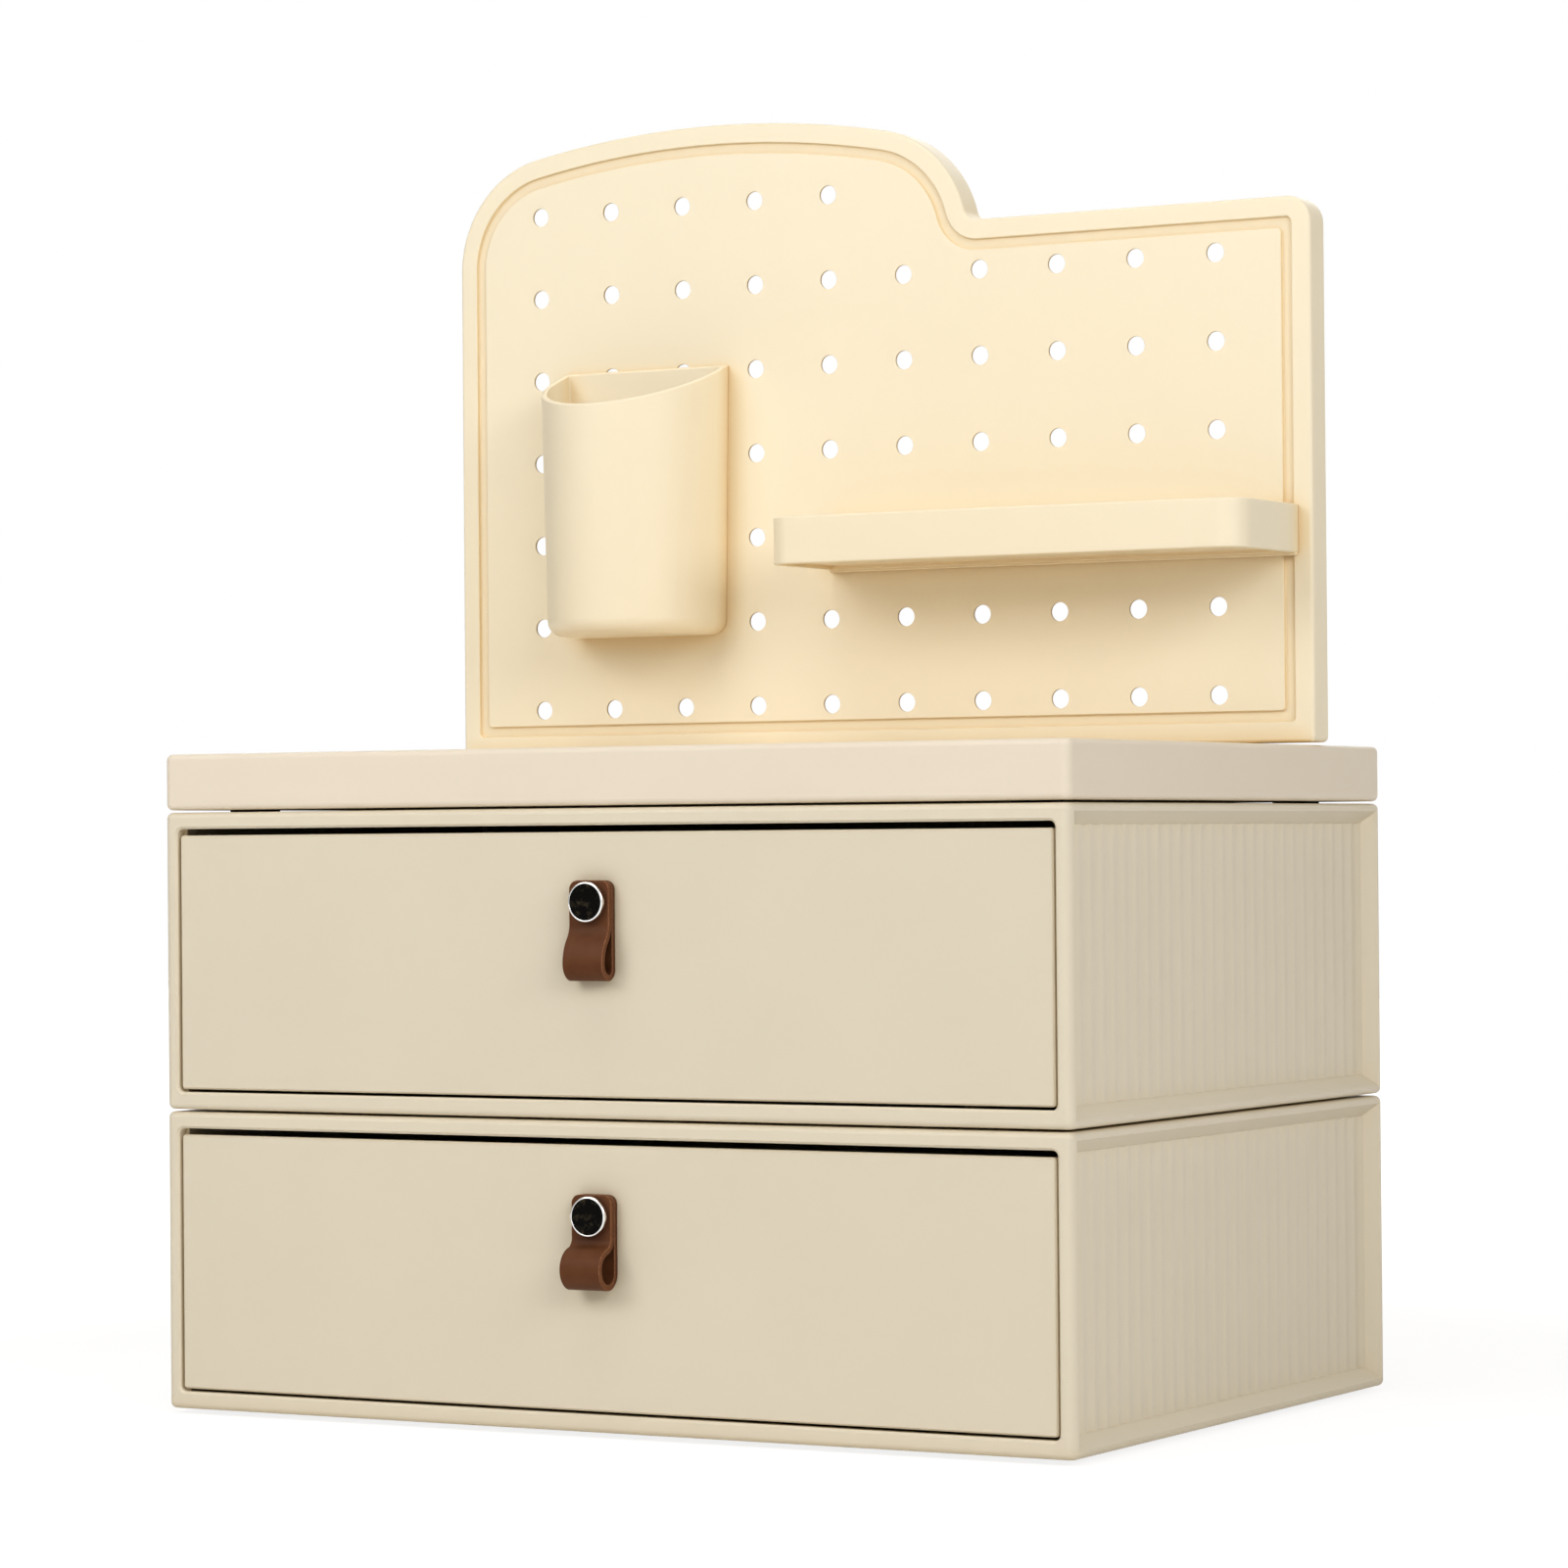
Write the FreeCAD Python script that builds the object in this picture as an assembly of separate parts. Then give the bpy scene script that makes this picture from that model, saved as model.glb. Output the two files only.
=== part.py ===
"""Desk organizer: two stacked drawer units, a top cover, and a pegboard with a cup and a tray.

Sizes are in millimetres. X runs to the right, Y to the back and Z up. The origin is in the
middle of the footprint, on the surface that the lowest feet stand on.
"""

import FreeCAD, Part
import math
import os

Vec = FreeCAD.Vector

# Housing of a drawer unit
unit_width = 340.0
unit_depth = 240.0
unit_height = 99.6
corner_radius = 3.0
rim_radius = 2.0
frame_side = 5.2
frame_top = 5.5
frame_bottom = 5.8
mouth_corner = 2.0
mouth_edge = 0.8
floor_thickness = 2.4
roof_thickness = 2.2
back_thickness = 2.2
cavity_corner = 2.0

# Fluted field in each side of a housing
border_upright = 3.3
border_level = 2.6
bevel_width = 4.0
field_depth = 4.5
field_wall = 1.7
flute_count = 28
flute_depth = 0.5
ridge_width = 1.2

# Drawer, front and tray in one moulding
front_recess = 0.8
front_thickness = 3.0
front_gap_top = 2.2
front_gap_side = 0.9
front_gap_bottom = 1.0
front_corner = 1.2
front_edge = 0.6
closed_gap = 0.3
tray_gap_side = 1.0
tray_gap_back = 1.0
tray_height = 81.2
tray_wall = 2.0
tray_floor = 2.4
tray_corner = 5.0
tongue_height = 8.0
tongue_length = 12.0
tongue_radius = 2.0
drawer_travel = 180.0

# Runner rails that carry the tray, on the floor of a housing
runner_gap = 0.3
runner_width = 4.0
runner_inset = 38.0
runner_setback = 15.0

# Feet, and the sockets that they stand in
foot_side = 12.0
foot_height = 2.4
foot_edge = 0.5
foot_pocket = 0.6
foot_inset = 22.0
socket_depth = 1.0
socket_gap = 0.3

# Top cover
cover_height = 18.8
cover_wall = 2.5
cover_plate = 2.5
cover_rib = 1.6
cover_rib_height = 8.0
cover_boss_wall = 2.5
cover_cross_rib_count = 5
cover_long_rib_count = 2

# Pegboard
board_setback = 43.5
board_depth = 12.0
board_plate = 2.4
board_flange = 2.5
board_seam = 1.0
board_edge = 1.0
board_foot_corner = 2.0
board_rim = 7.0
groove_width = 3.7
groove_depth = 1.4
panel_corner = 1.5
shoulder_height = 184.0
shoulder_corner = 9.0
shoulder_fillet = 5.5
arch_spring_drop = 5.8
arch_rise = 46.5
arch_half_span = 105.0
haunch_radius = 40.2

# Peg holes
hole_radius = 2.9
hole_sides = 12
hole_pitch = 30.0
hole_inset = 35.0
hole_top_inset = 17.6
arch_row_columns = 5
first_row_height = 16.4

# Tabs that stand the board in wells in the cover
tab_width = 36.0
tab_thickness = 8.0
tab_reach = 14.0
tab_taper = 1.0
tab_spacing = 120.0
tab_count = 3
well_gap = 0.3
well_wall = 2.0

# Hooks of what hangs on the board
hook_width = 3.0
hook_lip_drop = 1.8
hook_lip_thickness = 2.0
hook_clearance = 0.25
hook_lift = 2.1
hang_gap = 0.2

# Pen cup
cup_columns = (1, 2)
cup_row = 4
cup_half_width = 34.0
cup_straight = 8.0
cup_height = 96.6
cup_rim_above_row = 2.3
cup_rim_slope = math.radians(20.3)
cup_draft = math.radians(1.0)
cup_wall = 2.0
cup_floor = 2.4
cup_bottom_radius = 5.5
cup_bottom_steps = 4

# Shelf tray
shelf_first_column = 5
shelf_row = 2
shelf_depth = 47.0
shelf_height = 16.4
shelf_corner = 9.0
shelf_rim_above_row = 3.6
shelf_wall = 2.2
shelf_floor = 2.0
shelf_floor_recess = 1.5
shelf_back_drop = 0.9
shelf_edge = 0.6

# Leather pull: a strap folded at its lower end and held by a stud
strap_width = 15.0
strap_thickness = 2.0
strap_above_stud = 6.9
strap_corner = 3.0
strap_bend_below = 7.0
strap_turn_share = 0.4
strap_fold_turn = math.radians(60.0)
strap_slit_gap = 0.25
stud_height = 69.5
lower_strap_depth = 11.6
lower_strap_below = 23.5
lower_strap_belly = 16.8
upper_strap_depth = 8.4
upper_strap_below = 25.3
upper_strap_belly = 19.8

# Stud with its square neck, its inlay and its screw
stud_radius = 6.5
stud_thickness = 2.4
stud_edge = 0.5
inlay_radius = 5.4
inlay_depth = 0.6
inlay_gap = 0.05
inlay_proud = 0.1
neck_side = 4.6
neck_gap = 0.15
neck_short = 0.3
screw_radius = 1.5
screw_gap = 0.05
screw_hole_gap = 0.15
screw_length = 7.3
screw_head_radius = 4.0
screw_head_height = 1.8
screw_head_edge = 0.8
screw_drive_radius = 1.1
screw_drive_depth = 1.0
screw_drive_sides = 6

# A length far below any real one, and an overrun for cuts that leave a face
hair = 0.01
overrun = 5.0

# Places that follow from the sizes above
half_width = unit_width / 2
pull_reach = max(lower_strap_depth, upper_strap_depth) - front_recess
front_y = (pull_reach - unit_depth) / 2
back_y = front_y + unit_depth
foot_proud = foot_height - foot_pocket
seam = foot_proud - socket_depth
lower_base = foot_proud
lower_top = lower_base + unit_height
upper_base = lower_top + seam
upper_top = upper_base + unit_height
cover_base = upper_top + seam
cover_top = cover_base + cover_height
mouth_half = half_width - frame_side
pocket_depth = front_recess + front_thickness + closed_gap
pocket_y = front_y + pocket_depth
cavity_half = half_width - field_depth - flute_depth - field_wall
cavity_back_y = back_y - back_thickness
field_length = unit_depth - 2 * (border_upright + bevel_width)
flute_pitch = field_length / flute_count
front_face_y = front_y + front_recess
front_back_y = front_face_y + front_thickness
tray_base_height = frame_bottom + front_gap_bottom
tray_half = cavity_half - tray_gap_side
tray_back_y = cavity_back_y - tray_gap_back
board_back_y = back_y - board_setback
board_front_y = board_back_y - board_depth
board_base = cover_top + board_seam
arch_spring = shoulder_height - arch_spring_drop
hole_columns = round((unit_width - 2 * hole_inset) / hole_pitch) + 1
hole_rows = round((shoulder_height - first_row_height - hole_top_inset) / hole_pitch) + 1
hang_y = board_front_y - hang_gap
shelf_columns = (shelf_first_column, hole_columns - 1)
shelf_width = (hole_columns - shelf_first_column + 1) * hole_pitch


def block(x, y, z):
    """Block between the pairs of values x, y and z."""
    corner = Vec(x[0], y[0], z[0])
    return Part.makeBox(x[1] - x[0], y[1] - y[0], z[1] - z[0], corner)


def span(middle, half):
    """Pair of values at the distance half on both sides of the middle."""
    return (middle - half, middle + half)


def extents(edge):
    """Lowest and highest value of an edge on each axis."""
    box = edge.BoundBox
    return {"X": (box.XMin, box.XMax), "Y": (box.YMin, box.YMax), "Z": (box.ZMin, box.ZMax)}


def edges_along(shape, axis):
    """Straight edges that run along the axis."""
    found = []
    for edge in shape.Edges:
        reach = extents(edge)
        across = [reach[name][1] - reach[name][0] for name in reach if name != axis]
        if max(across) < hair:
            found.append(edge)
    return found


def edges_at(shape, axis, value):
    """Edges that lie wholly where the axis has the value."""
    found = []
    for edge in shape.Edges:
        low, high = extents(edge)[axis]
        if abs(low - value) < hair and abs(high - value) < hair:
            found.append(edge)
    return found


def edges_within(edges, axis, limits):
    """Those edges that stay between the two limits on the axis."""
    found = []
    for edge in edges:
        low, high = extents(edge)[axis]
        if low > limits[0] - hair and high < limits[1] + hair:
            found.append(edge)
    return found


def edges_of_length(edges, length):
    """Those edges that are as long as the length."""
    return [edge for edge in edges if abs(edge.Length - length) < hair]


def line(start, end):
    """Straight edge."""
    return Part.LineSegment(start, end).toShape()


def arc(centre, radius, start, end, across, up):
    """Arc about a centre. Angles run from the direction across towards the direction up."""
    points = []
    for angle in (start, (start + end) / 2, end):
        points.append(centre + across * (radius * math.cos(angle)) + up * (radius * math.sin(angle)))
    return Part.Arc(points[0], points[1], points[2]).toShape()


def chain(edges):
    """Closed wire of the edges in order, with a straight edge wherever two neighbours are apart."""
    closed = []
    for index, edge in enumerate(edges):
        closed.append(edge)
        end = edge.valueAt(edge.LastParameter)
        following = edges[(index + 1) % len(edges)]
        start = following.valueAt(following.FirstParameter)
        if end.distanceToPoint(start) > hair:
            closed.append(line(end, start))
    return Part.Wire(closed)


def prism(wire, direction):
    """Solid swept by the face inside a wire along a direction."""
    return Part.Face(wire).extrude(direction)


def polygon(points):
    """Closed wire of straight edges."""
    return Part.makePolygon(points + [points[0]])


def foot_places():
    """Middles of the four feet in plan, the same under both units and the cover."""
    places = []
    for x in (-half_width + foot_inset, half_width - foot_inset):
        for y in (front_y + foot_inset, back_y - foot_inset):
            places.append((x, y))
    return places


def foot_block(place, gap, z):
    """Block with a foot's square plan and a gap all round it."""
    x, y = place
    half = foot_side / 2 + gap
    return block(span(x, half), span(y, half), z)


def feet(base):
    """Four square pads under a piece whose underside is at the height base."""
    sole = base - foot_proud
    pads = []
    for place in foot_places():
        pad = foot_block(place, 0, (sole, sole + foot_height))
        pads.append(pad.makeChamfer(foot_edge, edges_at(pad, "Z", sole)))
    return Part.makeCompound(pads)


def foot_pockets(base):
    """Shallow pockets that hold the feet in an underside at the height base."""
    return [foot_block(place, 0, (base, base + foot_pocket)) for place in foot_places()]


def foot_sockets(top):
    """Sockets in a top face that keep the feet of the piece above in place."""
    return [foot_block(place, socket_gap, (top - socket_depth, top)) for place in foot_places()]


def rounded_block(x, y, z):
    """Block with rounded upright edges and a smaller rounding round its top and underside."""
    solid = block(x, y, z)
    solid = solid.makeFillet(corner_radius, edges_along(solid, "Z"))
    return solid.makeFillet(rim_radius, edges_at(solid, "Z", z[0]) + edges_at(solid, "Z", z[1]))


def bevelled_block(x, y, z, bevel):
    """Block that is widest at x[1] and whose four sides lean in by the bevel towards x[0].

    It is drawn lying down, with its height for its depth, and turned up about the middle axis.
    """
    inner_y = (y[0] + bevel, y[1] - bevel)
    inner_z = (z[0] + bevel, z[1] - bevel)
    solid = Part.makeWedge(
        y[0], -x[1], z[0], inner_z[0], inner_y[0], y[1], -x[0], z[1], inner_z[1], inner_y[1]
    )
    solid.rotate(Vec(0, 0, 0), Vec(0, 0, 1), math.degrees(math.pi / 2))
    return solid


def flutes(x, y, z):
    """Cutter of the upright flutes. In plan they are shallow concave arcs between flat ridges at x."""
    across = flute_pitch - ridge_width
    edges = []
    for index in range(flute_count):
        start = y[0] + ridge_width / 2 + index * flute_pitch
        deepest = Vec(x - flute_depth, start + across / 2, z[0])
        edges.append(Part.Arc(Vec(x, start, z[0]), deepest, Vec(x, start + across, z[0])).toShape())
    outer = x + field_depth / 2
    edges.append(line(Vec(outer, y[1], z[0]), Vec(outer, y[0], z[0])))
    return prism(chain(edges), Vec(0, 0, z[1] - z[0]))


def side_field(base):
    """Cutter of the recess in a housing's right side: four mitred bevels and the flutes."""
    y = (front_y + border_upright, back_y - border_upright)
    z = (base + border_level, base + unit_height - border_level)
    foot_of_y = (y[0] + bevel_width, y[1] - bevel_width)
    foot_of_z = (z[0] + bevel_width, z[1] - bevel_width)
    inner_x = half_width - field_depth
    recess = bevelled_block((inner_x, half_width), y, z, bevel_width)
    return recess.fuse(flutes(inner_x, foot_of_y, foot_of_z))


def runners(base):
    """Rails on a housing's floor that carry the tray just clear of the frame's lower bar."""
    top = base + tray_base_height - runner_gap
    rails = []
    for side in (-1, 1):
        middle = side * (cavity_half - runner_inset)
        x = span(middle, runner_width / 2)
        y = (pocket_y + runner_setback, cavity_back_y)
        rails.append(block(x, y, (base + floor_thickness, top)))
    return rails


def housing(base):
    """Shell of a drawer unit: framed mouth, closed back, runner rails and fluted sides."""
    top = base + unit_height
    shell = rounded_block((-half_width, half_width), (front_y, back_y), (base, top))
    mouth_z = (base + frame_bottom, top - frame_top)
    mouth = block((-mouth_half, mouth_half), (front_y - overrun, pocket_y), mouth_z)
    mouth = mouth.makeFillet(mouth_corner, edges_along(mouth, "Y"))
    shell = shell.cut(mouth)
    lip = edges_within(edges_at(shell, "Y", front_y), "X", (-mouth_half, mouth_half))
    lip = edges_within(lip, "Z", mouth_z)
    shell = shell.makeChamfer(mouth_edge, lip)
    cavity_z = (base + floor_thickness, top - roof_thickness)
    cavity = block((-cavity_half, cavity_half), (pocket_y, cavity_back_y), cavity_z)
    cavity = cavity.makeFillet(cavity_corner, edges_along(cavity, "Y"))
    shell = shell.cut(cavity)
    shell = shell.fuse(runners(base))
    field = side_field(base)
    other = field.mirror(Vec(0, 0, 0), Vec(1, 0, 0))
    return shell.cut([field, other] + foot_pockets(base) + foot_sockets(top))


def tray(base):
    """Open box behind a drawer's front, with a rounded floor edge and the two stop tongues."""
    z = (base + tray_base_height, base + tray_base_height + tray_height)
    outer = block((-tray_half, tray_half), (front_face_y + front_thickness / 2, tray_back_y), z)
    back_edges = edges_within(edges_along(outer, "Z"), "Y", (tray_back_y, tray_back_y))
    outer = outer.makeFillet(tray_corner, back_edges)
    inner_y = (front_back_y, tray_back_y - tray_wall)
    inner_z = (z[0] + tray_floor, z[1])
    inner = block(span(0, tray_half - tray_wall), inner_y, inner_z)
    inner = inner.makeFillet(tray_corner - tray_wall, edges_along(inner, "Z"))
    tongue_front = pocket_y + closed_gap + drawer_travel
    tongues = []
    for side in (-1, 1):
        middle = side * (tray_half - tray_wall / 2)
        y = (tongue_front, tongue_front + tongue_length)
        tongue = block(span(middle, tray_wall / 2), y, (z[1] - tongue_height, z[1] + tongue_height))
        crown = edges_at(tongue, "Z", z[1] + tongue_height)
        tongues.append(tongue.makeFillet(tongue_radius, edges_of_length(crown, tray_wall)))
    return outer.cut(inner).fuse(tongues)


def drawer(base):
    """Drawer with its flat front, which stands back a little in the housing's mouth."""
    x = (-mouth_half + front_gap_side, mouth_half - front_gap_side)
    z = (base + tray_base_height, base + unit_height - frame_top - front_gap_top)
    front = block(x, (front_face_y, front_back_y), z)
    front = front.makeFillet(front_corner, edges_along(front, "Y"))
    front = front.makeChamfer(front_edge, edges_at(front, "Y", front_face_y))
    screw_hole = stud_cylinder(base, screw_radius + screw_hole_gap, front_face_y, front_back_y)
    return front.fuse(tray(base)).cut(screw_hole)


def stud_cylinder(base, radius, near_y, far_y):
    """Cylinder on the stud's axis of the unit at the height base, between two places on Y."""
    start = Vec(0, near_y, base + stud_height)
    return Part.makeCylinder(radius, far_y - near_y, start, Vec(0, 1, 0))


def neck_block(base, gap, y):
    """Block with the square section of the stud's neck and a gap all round it."""
    half = neck_side / 2 + gap
    return block(span(0, half), y, span(base + stud_height, half))


def strap_profile(base, depth, below, belly_below):
    """Side outline of the folded strap and the outline of the loop's open eye.

    The front leg lies on the back leg, leaves it below the stud in an S of two arcs, and comes
    back at the fold in two more. Every arc meets the next at one slope, so the strap's two faces
    are the same arcs, half a thickness larger and smaller.
    """
    half = strap_thickness / 2
    stud_z = base + stud_height
    forward = Vec(0, -1, 0)
    up = Vec(0, 0, 1)
    belly_z = stud_z - belly_below
    bend_z = stud_z - strap_bend_below
    shift = depth - 4 * half
    drop = belly_below - strap_bend_below
    turn = 2 * math.atan(shift / drop)
    both = drop / math.sin(turn)
    hollow = strap_turn_share * both
    belly = both - hollow
    spread = 1 / math.tan(strap_fold_turn / 2)
    across = depth - 2 * half
    fall = below - half - belly_below
    fold = (across * spread - fall) / (2 * spread - 1)
    lead = (across - 2 * fold) / (1 - math.cos(strap_fold_turn))
    cheek = fold + lead

    def place(out, height):
        return Vec(0, front_face_y - out, height)

    hollow_at = place(3 * half + hollow, bend_z)
    belly_at = place(depth - half - belly, belly_z)
    cheek_at = place(depth - half - cheek, belly_z)
    fold_at = place(half + fold, belly_z - lead * math.sin(strap_fold_turn))
    slit_turn = math.acos(1 - strap_slit_gap / (hollow + half))
    slit_z = bend_z - (hollow + half) * math.sin(slit_turn)
    top_z = stud_z + strap_above_stud
    outside = [
        line(place(0, top_z), place(0, fold_at.z)),
        arc(fold_at, fold + half, math.pi, 2 * math.pi - strap_fold_turn, forward, up),
        arc(cheek_at, cheek + half, -strap_fold_turn, 0, forward, up),
        arc(belly_at, belly + half, 0, turn, forward, up),
        arc(hollow_at, hollow - half, math.pi + turn, math.pi, forward, up),
        line(place(4 * half, bend_z), place(4 * half, top_z)),
    ]
    eye = [
        line(place(2 * half, slit_z), place(2 * half, fold_at.z)),
        arc(fold_at, fold - half, math.pi, 2 * math.pi - strap_fold_turn, forward, up),
        arc(cheek_at, cheek - half, -strap_fold_turn, 0, forward, up),
        arc(belly_at, belly - half, 0, turn, forward, up),
        arc(hollow_at, hollow + half, math.pi + turn, math.pi + slit_turn, forward, up),
    ]
    return chain(outside), chain(eye)


def pull_strap(base, depth, below, belly_below):
    """Folded leather strap with round upper corners and the hole for the stud's neck."""
    outside, eye = strap_profile(base, depth, below, belly_below)
    shift = Vec(-strap_width / 2, 0, 0)
    strap = prism(outside, Vec(strap_width, 0, 0)).cut(prism(eye, Vec(strap_width, 0, 0)))
    strap.translate(shift)
    top_z = base + stud_height + strap_above_stud
    corners = edges_within(edges_along(strap, "Y"), "Z", (top_z, top_z))
    strap = strap.makeFillet(strap_corner, corners)
    return strap.cut(neck_block(base, neck_gap, (front_face_y - depth, front_face_y)))


def stud_cap(base):
    """Stud: a ring with a recessed face in front and a bored square neck behind.

    The neck fits the strap's square holes and stops just short of the drawer's front, so that the
    screw clamps the leather.
    """
    rear_y = front_face_y - 2 * strap_thickness
    head_y = rear_y - stud_thickness
    head = stud_cylinder(base, stud_radius, head_y, rear_y)
    head = head.makeChamfer(stud_edge, edges_at(head, "Y", head_y))
    neck = neck_block(base, 0, (rear_y - stud_thickness / 2, front_face_y - neck_short))
    recess = stud_cylinder(base, inlay_radius, head_y - overrun, head_y + inlay_depth)
    bore_y = front_back_y - screw_length - screw_gap
    bore = stud_cylinder(base, screw_radius + screw_gap, bore_y, front_back_y)
    return head.fuse(neck).cut([recess, bore])


def stud_inlay(base):
    """Thin round disc in the stud's face, a little proud of it."""
    head_y = front_face_y - 2 * strap_thickness - stud_thickness
    radius = inlay_radius - inlay_gap
    return stud_cylinder(base, radius, head_y - inlay_proud, head_y + inlay_depth)


def stud_screw(base):
    """Screw with a wide flat head that reaches from inside the drawer into the stud's neck."""
    top_y = front_back_y + screw_head_height
    head = stud_cylinder(base, screw_head_radius, front_back_y, top_y)
    head = head.makeChamfer(screw_head_edge, edges_at(head, "Y", top_y))
    body = stud_cylinder(base, screw_radius, front_back_y - screw_length, front_back_y)
    corners = []
    for index in range(screw_drive_sides):
        angle = 2 * index * math.pi / screw_drive_sides
        x = screw_drive_radius * math.cos(angle)
        z = base + stud_height + screw_drive_radius * math.sin(angle)
        corners.append(Vec(x, top_y - screw_drive_depth, z))
    drive = prism(polygon(corners), Vec(0, screw_drive_depth, 0))
    return head.fuse(body).cut(drive)


def tab_places():
    """Middles of the board's tabs on X."""
    return [(index - (tab_count - 1) / 2) * tab_spacing for index in range(tab_count)]


def tab_profile(x, low, high, gap):
    """Tab's block with a gap added all round in plan."""
    middle_y = (board_front_y + board_back_y) / 2
    return block(span(x, tab_width / 2 + gap), span(middle_y, tab_thickness / 2 + gap), (low, high))


def top_cover():
    """Cover with a plain top, open below, with ribs, foot bosses and wells for the board's tabs."""
    cover = rounded_block((-half_width, half_width), (front_y, back_y), (cover_base, cover_top))
    under_z = cover_top - cover_plate
    inner_x = span(0, half_width - cover_wall)
    inner_y = (front_y + cover_wall, back_y - cover_wall)
    hollow = block(inner_x, inner_y, (cover_base - overrun, under_z))
    hollow = hollow.makeFillet(corner_radius, edges_along(hollow, "Z"))
    cover = cover.cut(hollow)
    rib_z = (under_z - cover_rib_height, under_z)
    added = []
    for index in range(cover_cross_rib_count):
        x = -half_width + (index + 1) * unit_width / (cover_cross_rib_count + 1)
        added.append(block(span(x, cover_rib / 2), inner_y, rib_z))
    for index in range(cover_long_rib_count):
        y = front_y + (index + 1) * unit_depth / (cover_long_rib_count + 1)
        added.append(block(inner_x, span(y, cover_rib / 2), rib_z))
    added += [foot_block(place, cover_boss_wall, (cover_base, under_z)) for place in foot_places()]
    well_floor = cover_top - tab_reach
    cuts = foot_pockets(cover_base)
    for x in tab_places():
        added.append(tab_profile(x, well_floor - well_wall, under_z, well_gap + well_wall))
        cuts.append(tab_profile(x, well_floor, cover_top + overrun, well_gap))
    return cover.fuse(added).cut(cuts)


def board_arc(centre_x, centre_z, radius, start, end):
    """Arc in the board's front plane, with heights counted from its lower edge."""
    centre = Vec(centre_x, board_front_y, board_base + centre_z)
    return arc(centre, radius, start, end, Vec(1, 0, 0), Vec(0, 0, 1))


def board_outline(inset):
    """Outline of the board, moved inwards by the inset.

    The arch has three centres: a haunch at each side and a flat crown that meets both at one
    slope. The right haunch runs down into a concave fillet that ends level on the shoulder.
    """
    run = arch_half_span - haunch_radius
    crown_radius = (run**2 + arch_rise**2 - haunch_radius**2) / (2 * (arch_rise - haunch_radius))
    arch_x = arch_half_span - half_width
    left_x = arch_x - run
    right_x = arch_x + run
    lean = math.atan2(run, crown_radius - arch_rise)
    fillet_z = shoulder_height + shoulder_fillet
    fillet_x = right_x + math.sqrt((haunch_radius + shoulder_fillet)**2 - (fillet_z - arch_spring)**2)
    meet = math.atan2(fillet_z - arch_spring, fillet_x - right_x)
    quarter = math.pi / 2
    foot = max(board_foot_corner - inset, panel_corner)
    corner = max(shoulder_corner - inset, panel_corner)
    side = half_width - inset
    edges = [
        board_arc(foot - side, inset + foot, foot, 3 * quarter, 2 * quarter),
        board_arc(left_x, arch_spring, haunch_radius - inset, 2 * quarter, quarter + lean),
        board_arc(arch_x, arch_spring + arch_rise - crown_radius, crown_radius - inset,
                  quarter + lean, quarter - lean),
        board_arc(right_x, arch_spring, haunch_radius - inset, quarter - lean, meet),
        board_arc(fillet_x, fillet_z, shoulder_fillet + inset, 2 * quarter + meet, 3 * quarter),
        board_arc(side - corner, shoulder_height - inset - corner, corner, quarter, 0),
        board_arc(side - foot, inset + foot, foot, 0, -quarter),
    ]
    return chain(edges)


def board_slab(inset, start, thickness):
    """Slab with the board's outline, from start behind its front face."""
    slab = prism(board_outline(inset), Vec(0, thickness, 0))
    slab.translate(Vec(0, start, 0))
    return slab


def board_band(outer_inset, inner_inset, start, thickness):
    """Closed band that follows the board's outline between two insets."""
    return board_slab(outer_inset, start, thickness).cut(board_slab(inner_inset, start, thickness))


def hole_place(column, row):
    """Middle of a peg hole in the board's front plane."""
    x = hole_inset - half_width + column * hole_pitch
    return Vec(x, board_front_y, board_base + first_row_height + row * hole_pitch)


def hole_cutter(place):
    """Cutter of one peg hole, many-sided, with its flats on the hole's radius."""
    reach = hole_radius / math.cos(math.pi / hole_sides)
    corners = []
    for index in range(hole_sides):
        angle = (2 * index + 1) * math.pi / hole_sides
        corners.append(place + Vec(reach * math.cos(angle), 0, reach * math.sin(angle)))
    return prism(polygon(corners), Vec(0, board_depth, 0))


def peg_holes():
    """Cutters of the peg holes: full rows, and a short one in the arch."""
    places = [hole_place(column, row) for row in range(hole_rows) for column in range(hole_columns)]
    places += [hole_place(column, hole_rows) for column in range(arch_row_columns)]
    return [hole_cutter(place) for place in places]


def pegboard():
    """Board: a plate with a flange round it, a groove inside its rim, peg holes and three tabs."""
    board = board_slab(0, 0, board_depth)
    board = board.makeChamfer(board_edge, edges_at(board, "Y", board_front_y))
    board = board.cut(board_slab(board_flange, board_plate, board_depth))
    board = board.cut(board_band(board_rim, board_rim + groove_width, 0, groove_depth))
    board = board.cut(peg_holes())
    tabs = []
    for x in tab_places():
        tab = tab_profile(x, cover_top - tab_reach, board_base + board_flange, 0)
        tabs.append(tab.makeChamfer(tab_taper, edges_at(tab, "Z", cover_top - tab_reach)))
    return board.fuse(tabs)


def hook(place, root):
    """Hook through the peg hole at a place: a peg and a lip turned down behind the board's plate.

    The peg rests low in the hole and is thin enough to rise until the lip is level with the hole.
    """
    chord = math.sqrt(hole_radius**2 - (hook_width / 2)**2)
    low = place.z - chord + hook_clearance
    high = place.z + chord - hook_clearance - hook_lift
    lip_y = board_front_y + board_plate + hook_clearance
    x = span(place.x, hook_width / 2)
    peg = block(x, (hang_y - root, lip_y + hook_lip_thickness), (low, high))
    lip = block(x, (lip_y, lip_y + hook_lip_thickness), (low - hook_lip_drop, high))
    return peg.fuse(lip)


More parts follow.
